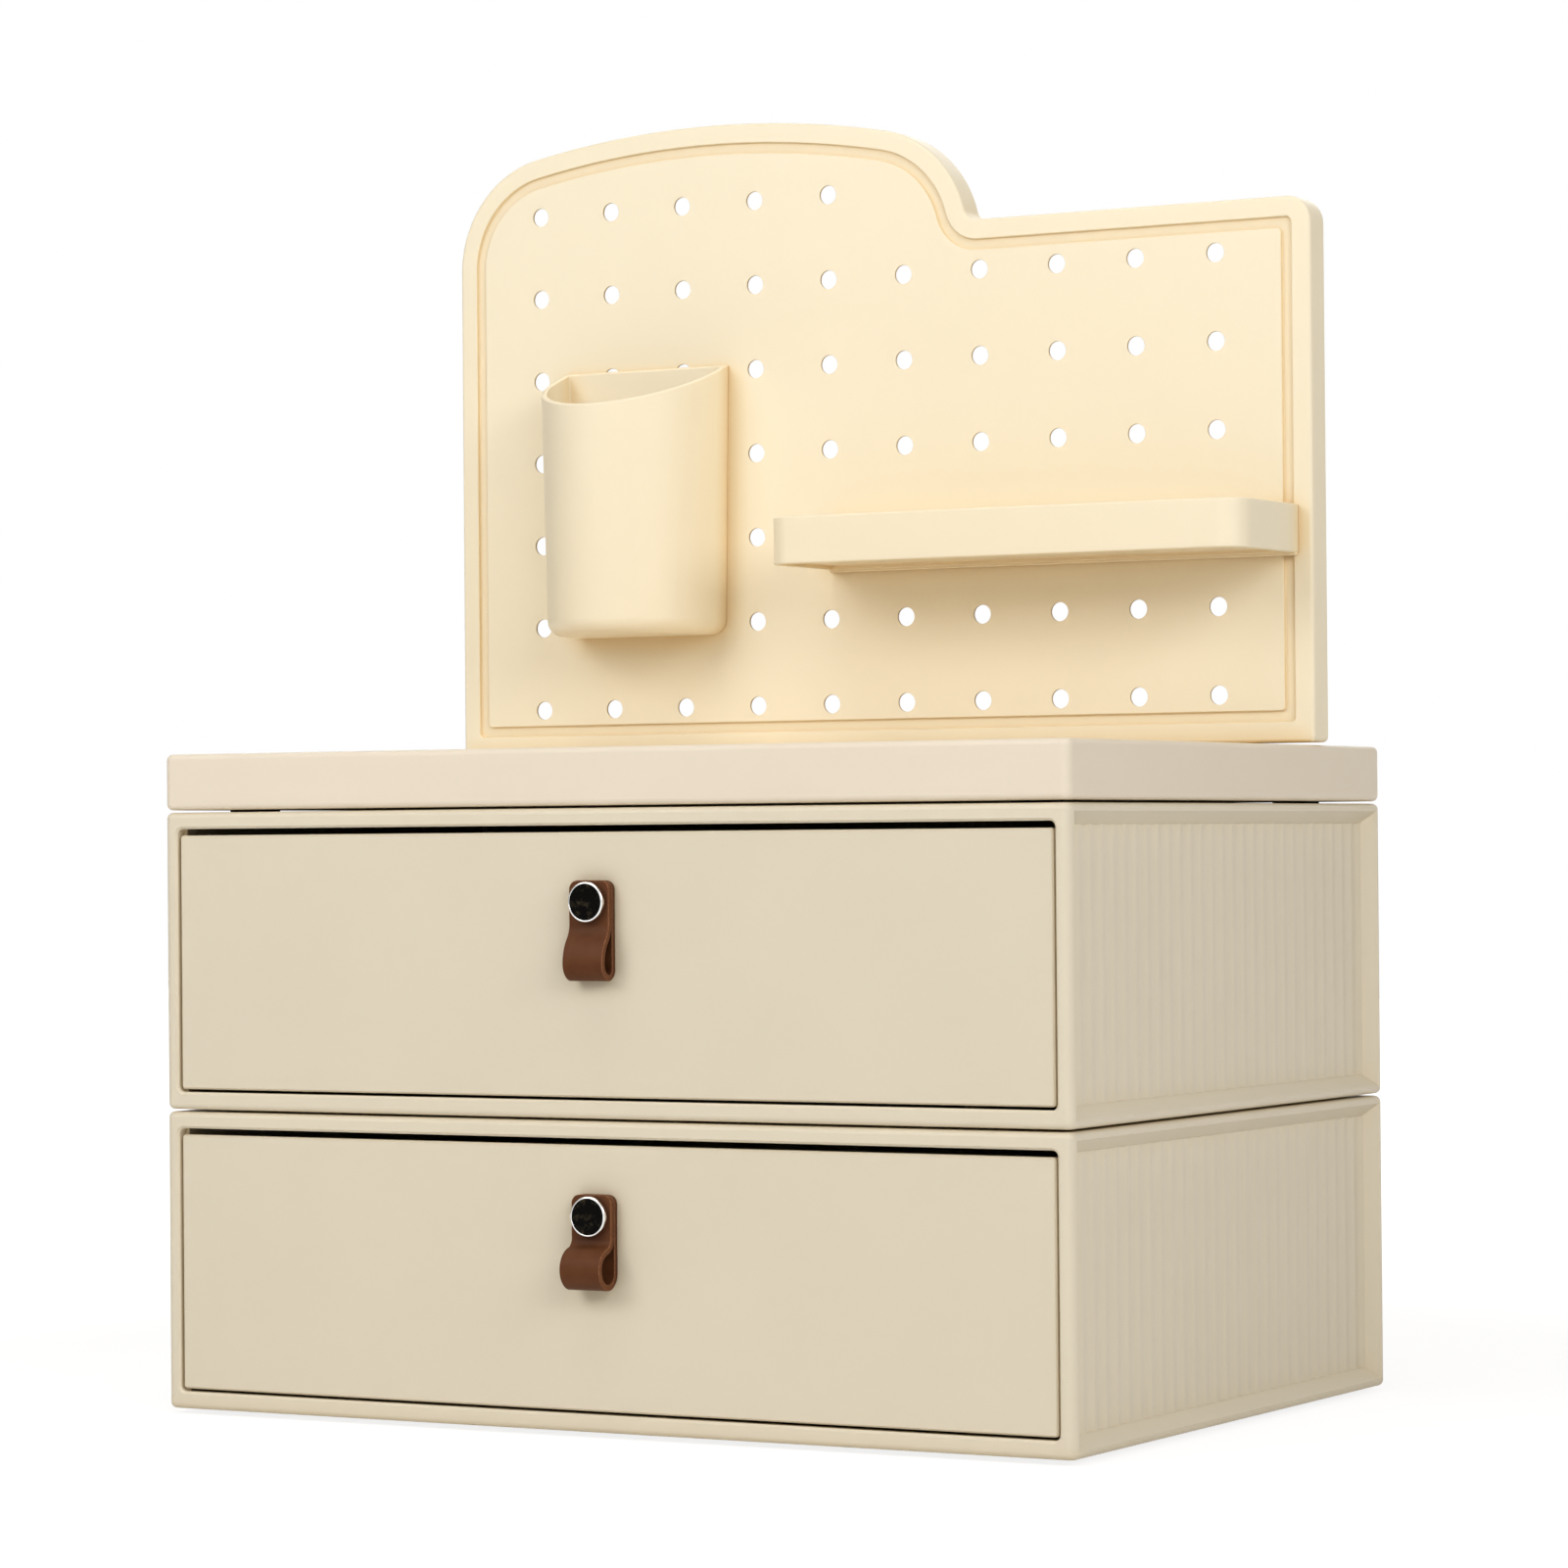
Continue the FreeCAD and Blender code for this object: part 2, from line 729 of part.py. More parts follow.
def cup_plan(middle_x, z, top_z, inset, back_inset):
    """Plan of the cup at a height: flat back, short straight sides and a half round front."""
    half = cup_half_width - (top_z - z) * math.tan(cup_draft) - inset
    back = hang_y - back_inset
    round_y = hang_y - cup_straight
    left = middle_x - half
    right = middle_x + half
    points = [Vec(left, round_y, z), Vec(left, back, z), Vec(right, back, z), Vec(right, round_y, z)]
    front = Part.Arc(points[-1], Vec(middle_x, round_y - half, z), points[0]).toShape()
    straight = [line(points[index], points[index + 1]) for index in range(len(points) - 1)]
    return Part.Wire(straight + [front])


def cup_rings(middle_x, base, rim_z):
    """Plans from the cup's underside to its rim. The lowest follow the round lower edge."""
    rings = []
    for step in range(cup_bottom_steps + 1):
        angle = step * math.pi / 2 / cup_bottom_steps
        z = base + cup_bottom_radius * (1 - math.cos(angle))
        inset = cup_bottom_radius * (1 - math.sin(angle))
        rings.append(cup_plan(middle_x, z, rim_z, inset, 0))
    rings.append(cup_plan(middle_x, rim_z, rim_z, 0, 0))
    return rings


def pen_cup():
    """Tapered cup with a rim that slopes down to the front and two hooks behind."""
    places = [hole_place(column, cup_row) for column in cup_columns]
    middle_x = (places[0].x + places[-1].x) / 2
    rim_z = places[0].z + cup_rim_above_row
    base = rim_z - cup_height
    outer = Part.makeLoft(cup_rings(middle_x, base, rim_z), True, True)
    floor_z = base + cup_floor
    inner_plans = [cup_plan(middle_x, z, rim_z, cup_wall, cup_wall) for z in (floor_z, rim_z)]
    inner = Part.makeLoft(inner_plans, True, True)
    front = hang_y - cup_straight - cup_half_width - overrun
    slope = math.tan(cup_rim_slope)
    wedge_points = [
        Vec(middle_x, hang_y + overrun, rim_z + overrun * slope),
        Vec(middle_x, hang_y + overrun, rim_z + cup_height),
        Vec(middle_x, front, rim_z + cup_height),
        Vec(middle_x, front, rim_z - (hang_y - front) * slope),
    ]
    wedge = prism(polygon(wedge_points), Vec(unit_width, 0, 0))
    wedge.translate(Vec(-half_width, 0, 0))
    hooks = [hook(place, cup_wall / 2) for place in places]
    return outer.cut([inner, wedge]).fuse(hooks)


def shelf_plan(middle_x, z, inset):
    """Plan of the tray: flat back and round front corners."""
    half = shelf_width / 2 - inset
    radius = shelf_corner - inset
    back = hang_y - inset
    front = hang_y - shelf_depth + inset
    right = Vec(middle_x + half - radius, front + radius, z)
    left = Vec(middle_x - half + radius, front + radius, z)
    across = Vec(1, 0, 0)
    up = Vec(0, 1, 0)
    edges = [
        arc(right, radius, 0, -math.pi / 2, across, up),
        arc(left, radius, -math.pi / 2, -math.pi, across, up),
        line(Vec(middle_x - half, back, z), Vec(middle_x + half, back, z)),
    ]
    return chain(edges)


def shelf_tray():
    """Shallow tray with a floor set up from its lower edge, a deeper back and two hooks."""
    places = [hole_place(column, shelf_row) for column in shelf_columns]
    middle_x = (places[0].x + places[-1].x) / 2
    rim_z = places[0].z + shelf_rim_above_row
    base = rim_z - shelf_height
    shelf = prism(shelf_plan(middle_x, base, 0), Vec(0, 0, shelf_height))
    outer_edges = edges_at(shelf, "Z", rim_z) + edges_at(shelf, "Z", base)
    outer_edges = [edge for edge in outer_edges if extents(edge)["Y"][0] < hang_y - hair]
    shelf = shelf.makeChamfer(shelf_edge, outer_edges)
    floor_z = base + shelf_floor_recess
    inside = prism(shelf_plan(middle_x, floor_z + shelf_floor, shelf_wall), Vec(0, 0, shelf_height))
    below = prism(shelf_plan(middle_x, base - overrun, shelf_wall), Vec(0, 0, overrun + shelf_floor_recess))
    shelf = shelf.cut([inside, below])
    back_z = (base - shelf_back_drop, base + shelf_height / 2)
    back = block(span(middle_x, shelf_width / 2), (hang_y - shelf_wall, hang_y), back_z)
    return shelf.fuse([back] + [hook(place, shelf_wall / 2) for place in places])


def unit_parts(name, base, strap_sizes):
    """Pieces of one drawer unit, by the names of their nodes."""
    return {
        name + "_housing": housing(base),
        name + "_feet": feet(base),
        name + "_drawer": drawer(base),
        name + "_pull_strap": pull_strap(base, *strap_sizes),
        name + "_stud_cap": stud_cap(base),
        name + "_stud_inlay": stud_inlay(base),
        name + "_stud_screw": stud_screw(base),
    }


def build():
    """All pieces by the names of their nodes."""
    lower_sizes = (lower_strap_depth, lower_strap_below, lower_strap_belly)
    upper_sizes = (upper_strap_depth, upper_strap_below, upper_strap_belly)
    parts = unit_parts("lower", lower_base, lower_sizes)
    parts.update(unit_parts("upper", upper_base, upper_sizes))
    parts["top_cover"] = top_cover()
    parts["cover_feet"] = feet(cover_base)
    parts["pegboard"] = pegboard()
    parts["pen_cup"] = pen_cup()
    parts["shelf_tray"] = shelf_tray()
    return parts


def export(parts):
    """Write one file per piece."""
    os.makedirs("parts", exist_ok=True)
    for name, shape in parts.items():
        shape.exportStep("parts/" + name + ".step")
        print(name, len(shape.Solids), "solids", round(shape.Volume), "mm3", shape.isValid())


export(build())
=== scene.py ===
"""Looks of a desk organizer: two drawer units, a top cover, and a pegboard with a cup and a tray.

The housings, drawers, cover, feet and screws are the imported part's own nodes, dressed in moulded
plastic, rubber and steel. The pegboard, the cup, the tray, the leather pulls and the studs are new
surfaces with finer edges, each in the place of its node. Lengths are in metres.
"""

import logging
import math
from dataclasses import dataclass, field
from enum import Enum

import bmesh
import bpy
import numpy as np
from mathutils import Matrix, Vector
from mathutils.geometry import delaunay_2d_cdt


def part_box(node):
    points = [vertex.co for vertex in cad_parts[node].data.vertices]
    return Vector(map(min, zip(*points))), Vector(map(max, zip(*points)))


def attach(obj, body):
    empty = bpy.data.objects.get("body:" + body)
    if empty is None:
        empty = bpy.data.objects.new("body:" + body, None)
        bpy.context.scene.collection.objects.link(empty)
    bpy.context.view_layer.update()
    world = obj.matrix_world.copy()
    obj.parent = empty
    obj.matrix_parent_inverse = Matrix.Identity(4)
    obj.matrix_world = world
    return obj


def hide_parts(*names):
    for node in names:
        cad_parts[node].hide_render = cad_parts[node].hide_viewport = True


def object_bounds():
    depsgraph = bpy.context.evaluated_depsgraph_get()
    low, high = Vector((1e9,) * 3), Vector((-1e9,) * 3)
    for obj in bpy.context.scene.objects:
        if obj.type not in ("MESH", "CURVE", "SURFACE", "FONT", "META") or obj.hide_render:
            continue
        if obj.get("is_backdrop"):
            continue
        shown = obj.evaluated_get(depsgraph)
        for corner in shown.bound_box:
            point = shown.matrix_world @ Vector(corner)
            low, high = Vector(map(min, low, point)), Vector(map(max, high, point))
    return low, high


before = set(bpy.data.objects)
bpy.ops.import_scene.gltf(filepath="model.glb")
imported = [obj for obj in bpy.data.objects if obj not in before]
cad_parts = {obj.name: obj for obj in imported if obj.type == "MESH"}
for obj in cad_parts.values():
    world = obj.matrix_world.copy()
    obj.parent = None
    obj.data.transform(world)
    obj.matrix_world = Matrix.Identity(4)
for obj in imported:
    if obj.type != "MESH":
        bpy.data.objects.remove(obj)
bpy.context.view_layer.update()
cad_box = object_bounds()

Array = np.ndarray
Tone = tuple[int, int, int]
Colour = tuple[float, float, float, float]
Source = bpy.types.NodeSocket

MM = 0.001
QUARTER = math.pi / 2
WHITE: Colour = (1.0, 1.0, 1.0, 1.0)
NOISE_LOW = 0.3
NOISE_HIGH = 0.7
OPENNESS_SAMPLES = 8
CDT_INSIDE = 1
CDT_LIMIT = 1e-9
LOG = logging.getLogger("organizer")


class Unit(Enum):
    """The two drawer units, by the first word of their nodes and bodies."""

    LOWER = "lower"
    UPPER = "upper"


class Slot(Enum):
    """Material slots of the record."""

    HOUSING = "housing_plastic"
    DRAWER = "drawer_plastic"
    COVER = "cover_plastic"
    BOARD = "board_plastic"
    FOOT = "foot_rubber"
    STRAP = "strap_leather"
    STUD = "stud_chrome"
    INLAY = "inlay_black"
    SCREW = "screw_steel"


class Mask(Enum):
    """Mesh attributes, from 0 to 1, that a finish reads."""

    # Marks the peg holes' walls, where the board's finish paints shade.
    HOLE_WALL_SHADE = "hole_wall_shade"
    # Marks the strap's paler cut edges, peaking on their round edges in a painted highlight.
    CUT_EDGE_AND_HIGHLIGHT = "cut_edge_and_highlight"


def linear(tone: Tone, share: float = 1.0) -> Colour:
    """Turns a display colour into the linear one that shaders take.

    Args:
        tone: Red, green and blue from 0 to 255.
        share: Factor on the linear colour.

    Returns:
        Linear red, green, blue and full alpha.
    """
    value = np.array(tone) / 255
    low = value / 12.92
    high = ((value + 0.055) / 1.055) ** 2.4
    red, green, blue = np.where(value <= 0.04045, low, high) * share
    return (float(red), float(green), float(blue), 1.0)


class Tree:
    """Node tree of a material or the world, under construction."""

    def __init__(self, holder: bpy.types.Material | bpy.types.World) -> None:
        """Empties the holder's tree."""
        holder.use_nodes = True
        self.nodes = holder.node_tree.nodes
        self.links = holder.node_tree.links
        self.nodes.clear()

    def fill(self, node: bpy.types.Node, inputs: dict[str | int, object]) -> None:
        """Sets a node's inputs. An output of another node is linked, any other value is written.

        Args:
            node: The node.
            inputs: Outputs or values by the input's name or number.
        """
        for key, value in inputs.items():
            if isinstance(value, Source):
                self.links.new(value, node.inputs[key])
            else:
                node.inputs[key].default_value = value

    def add(self, kind: str, inputs: dict | None = None, **options: object) -> bpy.types.Node:
        """Adds a node.

        Args:
            kind: Type of the node.
            inputs: Outputs or values by the input's name or number.
            options: The node's options by name.

        Returns:
            The node.
        """
        node = self.nodes.new(kind)
        for key, value in options.items():
            setattr(node, key, value)
        self.fill(node, inputs or {})
        return node

    def place(self, kind: str) -> Source:
        """Adds coordinates of the named kind."""
        return self.add("ShaderNodeTexCoord").outputs[kind]

    def remap(self, value: Source, start: float, end: float, low: float, high: float) -> Source:
        """Moves a value from one range to another, and holds it there.

        Args:
            value: The value.
            start: Value that gives the low result.
            end: Value that gives the high result.
            low: Low result.
            high: High result.

        Returns:
            The result.
        """
        spans = {"From Min": start, "From Max": end, "To Min": low, "To Max": high}
        return self.add("ShaderNodeMapRange", {"Value": value, **spans}).outputs["Result"]

    def blend(self, share: Source, first: bpy.types.Node, second: bpy.types.Node) -> bpy.types.Node:
        """Blends two shader nodes by the share of the second."""
        return self.add("ShaderNodeMixShader", {0: share, 1: first.outputs[0], 2: second.outputs[0]})

    def rays(self, *names: str) -> Source:
        """Adds a value that is 1 for a ray of one of the named kinds and 0 for any other."""
        path = self.add("ShaderNodeLightPath")
        last = path.outputs[names[0]]
        for name in names[1:]:
            pair = {0: last, 1: path.outputs[name]}
            last = self.add("ShaderNodeMath", pair, operation="MAXIMUM").outputs[0]
        return last


@dataclass(frozen=True)
class Pattern:
    """Noise, or soft cells, over a surface.

    Attributes:
        size: Length of one of its features.
        detail: Octaves of finer noise.
        rough: Strength of the finer noise.
        depth: Depth that it stands for in a relief.
        cells: Whether it is made of cells.
    """

    size: float
    detail: float = 2.0
    rough: float = 0.5
    depth: float = 0.0
    cells: bool = False


class Nodes(Tree):
    """Node tree of a new material, with one shader and patterns on object coordinates."""

    def __init__(self, name: str) -> None:
        """Starts the tree of a material of that name."""
        self.material = bpy.data.materials.new(name)
        super().__init__(self.material)
        self.shader = self.add("ShaderNodeBsdfPrincipled")
        self.add("ShaderNodeOutputMaterial", {"Surface": self.shader.outputs["BSDF"]})
        self.spot = self.place("Object")

    def pattern(self, pattern: Pattern) -> Source:
        """Adds a pattern's value, from 0 to 1."""
        inputs = {"Vector": self.spot, "Scale": 1 / pattern.size}
        if pattern.cells:
            return self.add("ShaderNodeTexVoronoi", inputs, feature="SMOOTH_F1").outputs["Distance"]
        inputs |= {"Detail": pattern.detail, "Roughness": pattern.rough}
        return self.add("ShaderNodeTexNoise", inputs).outputs["Fac"]

    def ramp(self, pattern: Pattern, *stops: tuple[float, Colour]) -> Source:
        """Turns a pattern into a colour.

        Args:
            pattern: The pattern.
            stops: Two pairs of a value of the pattern and a linear colour.

        Returns:
            The colour.
        """
        node = self.add("ShaderNodeValToRGB", {"Fac": self.pattern(pattern)})
        for stop, (place, colour) in zip(node.color_ramp.elements, stops):
            stop.position = place
            stop.color = colour
        return node.outputs["Color"]

    def mix(self, share: Source, first: Source | Colour, second: Source | Colour) -> Source:
        """Mixes two colours by the share of the second."""
        return self.add("ShaderNodeMix", {0: share, 6: first, 7: second}, data_type="RGBA").outputs[2]

    def mask(self, mask: Mask) -> Source:
        """Adds the value of a mask, which is 0 on meshes without it."""
        return self.add("ShaderNodeAttribute", attribute_name=mask.value).outputs["Fac"]

    def openness(self, reach: float) -> Source:
        """Adds a value that is 1 in the open and falls where surfaces stand within the reach."""
        node = self.add("ShaderNodeAmbientOcclusion", {"Distance": reach}, samples=OPENNESS_SAMPLES)
        return node.outputs["AO"]

    def bump(self, layers: tuple[Pattern, ...]) -> None:
        """Chains patterns into the shader's normal, the lowest layer first."""
        below = {}
        for layer in layers:
            inputs = {"Distance": layer.depth, "Height": self.pattern(layer), **below}
            below = {"Normal": self.add("ShaderNodeBump", inputs).outputs["Normal"]}
        self.fill(self.shader, below)


@dataclass(frozen=True)
class Finish:
    """Finish of a slot: a colour in faint patches, a roughness that wanders, and a relief.

    Attributes:
        name: Name of the material.
        tone: Display colour.
        share: Linear factors on the colour in its darkest and lightest patches.
        cloud: Pattern of the patches of colour.
        gloss: Lowest and highest roughness.
        smear: Pattern of the patches of gloss.
        relief: Layers of bump.
        shine: Strength of the reflection.
        index: Index of refraction.
        metallic: Share of metal.
    """

    name: str
    tone: Tone
    share: tuple[float, float] = (1.0, 1.0)
    cloud: Pattern = Pattern(2 * MM)
    gloss: tuple[float, float] = (0.5, 0.5)
    smear: Pattern = Pattern(2 * MM)
    relief: tuple[Pattern, ...] = ()
    shine: float = 0.5
    index: float = 1.5
    metallic: float = 0.0

    def colour(self, nodes: Nodes) -> Source:
        """Adds the colour: the tone in darker and lighter patches."""
        low, high = (linear(self.tone, share) for share in self.share)
        return nodes.ramp(self.cloud, (NOISE_LOW, low), (NOISE_HIGH, high))

    def material(self) -> bpy.types.Material:
        """Builds the material."""
        nodes = Nodes(self.name)
        nodes.fill(nodes.shader, {
            "Base Color": self.colour(nodes),
            "Roughness": nodes.remap(nodes.pattern(self.smear), NOISE_LOW, NOISE_HIGH, *self.gloss),
            "Specular IOR Level": self.shine,
            "IOR": self.index,
            "Metallic": self.metallic,
        })
        nodes.bump(self.relief)
        return nodes.material


@dataclass(frozen=True, kw_only=True)
class Plastic(Finish):
    """Moulded plastic with a fine matte grain, tinted with painted warm shade where other surfaces stand
    close.

    Attributes:
        hollow: Display colour of the painted shade where other surfaces stand close.
        reach: Distance within which a surface counts as close for the painted shade.
        dim: Linear factor on the hollow's colour, which paints the walls of small holes with darker painted
            shade.
    """

    hollow: Tone
    reach: float = 9 * MM
    dim: float = 0.55
    share: tuple[float, float] = (0.99, 1.01)
    cloud: Pattern = Pattern(60 * MM, detail=3.0)
    gloss: tuple[float, float] = (0.33, 0.39)
    smear: Pattern = Pattern(9 * MM, detail=4.0)
    relief: tuple[Pattern, ...] = (
        Pattern(0.45 * MM, rough=0.6, depth=0.006 * MM), Pattern(25 * MM, depth=0.03 * MM))
    shine: float = 0.14
    index: float = 1.46

    def colour(self, nodes: Nodes) -> Source:
        """Adds the colour: patches of the tone, painted warm shade where surfaces stand close, and painted
        shade on the hole walls.
        """
        tone = super().colour(nodes)
        # Painted shade: where other surfaces stand within the reach, the colour turns to the warm hollow
        # tone.
        outside = nodes.mix(nodes.openness(self.reach), linear(self.hollow), tone)
        # Painted shade: the hole-wall mask darkens the walls of the peg holes.
        return nodes.mix(nodes.mask(Mask.HOLE_WALL_SHADE), outside, linear(self.hollow, self.dim))


@dataclass(frozen=True, kw_only=True)
class Leather(Finish):
    """Smooth brown leather with a pebbled grain, fine pores, paler cut edges carrying a painted highlight,
    and painted shade in the fold.

    Attributes:
        deep: Display colour of the face's darker patches.
        edge: Display colour of the cut edges, which also paints a highlight along their round edges.
        hollow: Display colour of the painted shade where surfaces stand close, as inside the fold.
        reach: Distance within which a surface counts as close for the painted shade.
        fibre: Pattern of the marks on the cut edges.
    """

    deep: Tone
    edge: Tone
    hollow: Tone
    reach: float = 5 * MM
    fibre: Pattern = Pattern(0.5 * MM, detail=3.0)
    cloud: Pattern = Pattern(6 * MM)
    gloss: tuple[float, float] = (0.40, 0.56)
    smear: Pattern = Pattern(1.2 * MM, detail=4.0)
    relief: tuple[Pattern, ...] = (
        Pattern(0.55 * MM, depth=0.012 * MM, cells=True), Pattern(0.15 * MM, depth=0.006 * MM))
    shine: float = 0.1

    def colour(self, nodes: Nodes) -> Source:
        """Adds the colour: a mottled face, paler cut edges with a painted highlight, and painted shade in the
        fold.
        """
        tone = linear(self.tone)
        face = nodes.ramp(self.cloud, (NOISE_LOW, linear(self.deep)), (0.65, tone))
        # The rim colour is paler cut leather and, where the mask peaks, a painted highlight.
        rim = nodes.ramp(self.fibre, (NOISE_LOW, tone), (0.6, linear(self.edge)))
        outside = nodes.mix(nodes.mask(Mask.CUT_EDGE_AND_HIGHLIGHT), face, rim)
        # Painted shade: the colour turns to the dark hollow tone inside the fold and wherever surfaces stand
        # close.
        return nodes.mix(nodes.openness(self.reach), linear(self.hollow), outside)


@dataclass(frozen=True)
class Metal(Finish):
    """Bare or plated metal: an even colour with smudged gloss and faint marks."""

    share: tuple[float, float] = (0.96, 1.0)
    gloss: tuple[float, float] = (0.05, 0.11)
    smear: Pattern = Pattern(2 * MM, detail=4.0)
    relief: tuple[Pattern, ...] = (Pattern(0.5 * MM, depth=0.004 * MM),)
    metallic: float = 1.0


@dataclass(frozen=True, kw_only=True)
class Enamel(Finish):
    """Deep gloss of the studs' faces, near black with faint clouds painted in as a reflection.

    Attributes:
        reflection_fleck: Display colour of the clouds, a painted reflection.
    """

    reflection_fleck: Tone
    cloud: Pattern = Pattern(2.5 * MM, detail=6.0, rough=0.65)
    gloss: tuple[float, float] = (0.08, 0.16)
    smear: Pattern = Pattern(1.5 * MM)
    relief: tuple[Pattern, ...] = (Pattern(3 * MM, depth=0.01 * MM),)
    shine: float = 0.03

    def colour(self, nodes: Nodes) -> Source:
        """Adds the colour: the tone, with painted reflection flecks at the pattern's peaks."""
        return nodes.ramp(self.cloud, (0.52, linear(self.tone)), (0.72, linear(self.reflection_fleck)))


@dataclass(frozen=True)
class Rubber(Finish):
    """Dark soft rubber of the feet: an uneven tone, dull and slightly rough."""

    share: tuple[float, float] = (0.8, 1.15)
    cloud: Pattern = Pattern(3 * MM, detail=5.0)
    gloss: tuple[float, float] = (0.7, 0.85)
    smear: Pattern = Pattern(1 * MM)
    relief: tuple[Pattern, ...] = (Pattern(0.3 * MM, depth=0.03 * MM),)


# The hollow tones are painted shade, mixed in where other surfaces stand close. The strap's edge tone is
# paler leather and also a painted highlight. The inlay's fleck tone is a painted reflection.
FINISHES: dict[Slot, Finish] = {
    Slot.HOUSING: Plastic("housing_plastic_moulded", (227, 217, 197), hollow=(215, 199, 168)),
    Slot.DRAWER: Plastic("drawer_plastic_moulded", (225, 215, 195), hollow=(208, 192, 160)),
    Slot.COVER: Plastic("cover_plastic_moulded", (235, 223, 205), hollow=(224, 206, 176)),
    Slot.BOARD: Plastic("board_plastic_moulded", (248, 236, 209), hollow=(228, 192, 122), shine=0.3),
    Slot.FOOT: Rubber("foot_rubber_soft", (58, 54, 49)),
    Slot.STRAP: Leather("strap_leather_smooth", (96, 57, 32), deep=(89, 51, 28), edge=(140, 94, 66),
                        hollow=(40, 22, 13)),
    Slot.STUD: Metal("stud_chrome_bright", (235, 234, 232)),
    Slot.INLAY: Enamel("inlay_black_gloss", (9, 8, 7), reflection_fleck=(58, 51, 38)),
    Slot.SCREW: Metal("screw_steel_satin", (176, 174, 170), cloud=Pattern(1.2 * MM), gloss=(0.28, 0.4),
                      smear=Pattern(1.2 * MM, detail=4.0), relief=(Pattern(0.3 * MM, depth=0.01 * MM),)),
}


class Wardrobe:
    """Makes each finish once and puts it on pieces."""

    def __init__(self) -> None:
        """Starts with no material made."""
        self.made: dict[Slot, bpy.types.Material] = {}

    def material(self, slot: Slot) -> bpy.types.Material:
        """Gives the material of a slot, made when it is first asked for."""
        if slot not in self.made:
            self.made[slot] = FINISHES[slot].material()
        return self.made[slot]

    def dress_node(self, node: str, slot: Slot) -> None:
        """Puts a slot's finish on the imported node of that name."""
        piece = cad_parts[node]
        for holder in piece.material_slots:
            holder.material = self.material(slot)
        LOG.info("dressed %s", node)


WARDROBE = Wardrobe()


def stand(name: str, data: bpy.types.ID) -> bpy.types.Object:
    """Puts data into the scene as an object of that name."""
    item = bpy.data.objects.new(name, data)
    bpy.context.scene.collection.objects.link(item)
    return item


def arc_points(centre: tuple[float, float], radius: float, start: float, end: float, count: int) -> Array:
    """Points on an arc: the centre plus the radius times the cosine and sine of even angles.

    Args:
        centre: Centre of the arc.
        radius: Its radius.
        start: First angle.
        end: Last angle.
        count: Number of points.

    Returns:
        Rows of two coordinates.
    """
    angle = np.linspace(start, end, count)
    return np.column_stack([centre[0] + radius * np.cos(angle), centre[1] + radius * np.sin(angle)])


def soften(corners: list[tuple[float, float, float]], steps: int = 4) -> Array:
    """Profile through corners, each rounded by its own radius.

    An arc touches both sides of its corner. Its centre lies on the corner's bisector, at the
    radius over the sine of half the angle, and its points turn evenly from one side's foot to
    the other's.

    Args:
        corners: Two coordinates and a radius each. A radius of zero keeps the corner.
        steps: Number of faces on each arc.

    Returns:
        Rows of two coordinates.
    """
    rows = []
    spots = np.array([corner[:2] for corner in corners])
    for index, (x, y, radius) in enumerate(corners):
        if radius == 0 or index in (0, len(corners) - 1):
            rows.append(spots[index:index + 1])
            continue
        before = spots[index - 1] - spots[index]
        after = spots[index + 1] - spots[index]
        before = before / np.linalg.norm(before)
        after = after / np.linalg.norm(after)
        half = math.acos(float(np.clip(before @ after, -1, 1))) / 2
        bisector = (before + after) / np.linalg.norm(before + after)
        centre = np.array([x, y]) + bisector * radius / math.sin(half)
        reach = radius / math.tan(half)
        first = (spots[index] + before * reach - centre) / radius
        last = (spots[index] + after * reach - centre) / radius
        turn = math.acos(float(np.clip(first @ last, -1, 1)))
        share = np.linspace(0, 1, steps + 1)[:, None]
        swing = np.sin((1 - share) * turn) * first + np.sin(share * turn) * last
        rows.append(centre + radius * swing / math.sin(turn))
    return np.concatenate(rows)


def round_section(steps: int) -> tuple[Array, Array, Array]:
    """Angles round a section with four round corners.

    Args:
        steps: Faces on each corner.

    Returns:
        The angles, and for each the signs of its corner on the section's two axes.
    """
    quarter = np.linspace(0, QUARTER, steps + 1)
    around = np.concatenate([quarter + turn * QUARTER for turn in range(4)])
    return around, np.repeat([1, -1, -1, 1], steps + 1), np.repeat([1, 1, -1, -1], steps + 1)


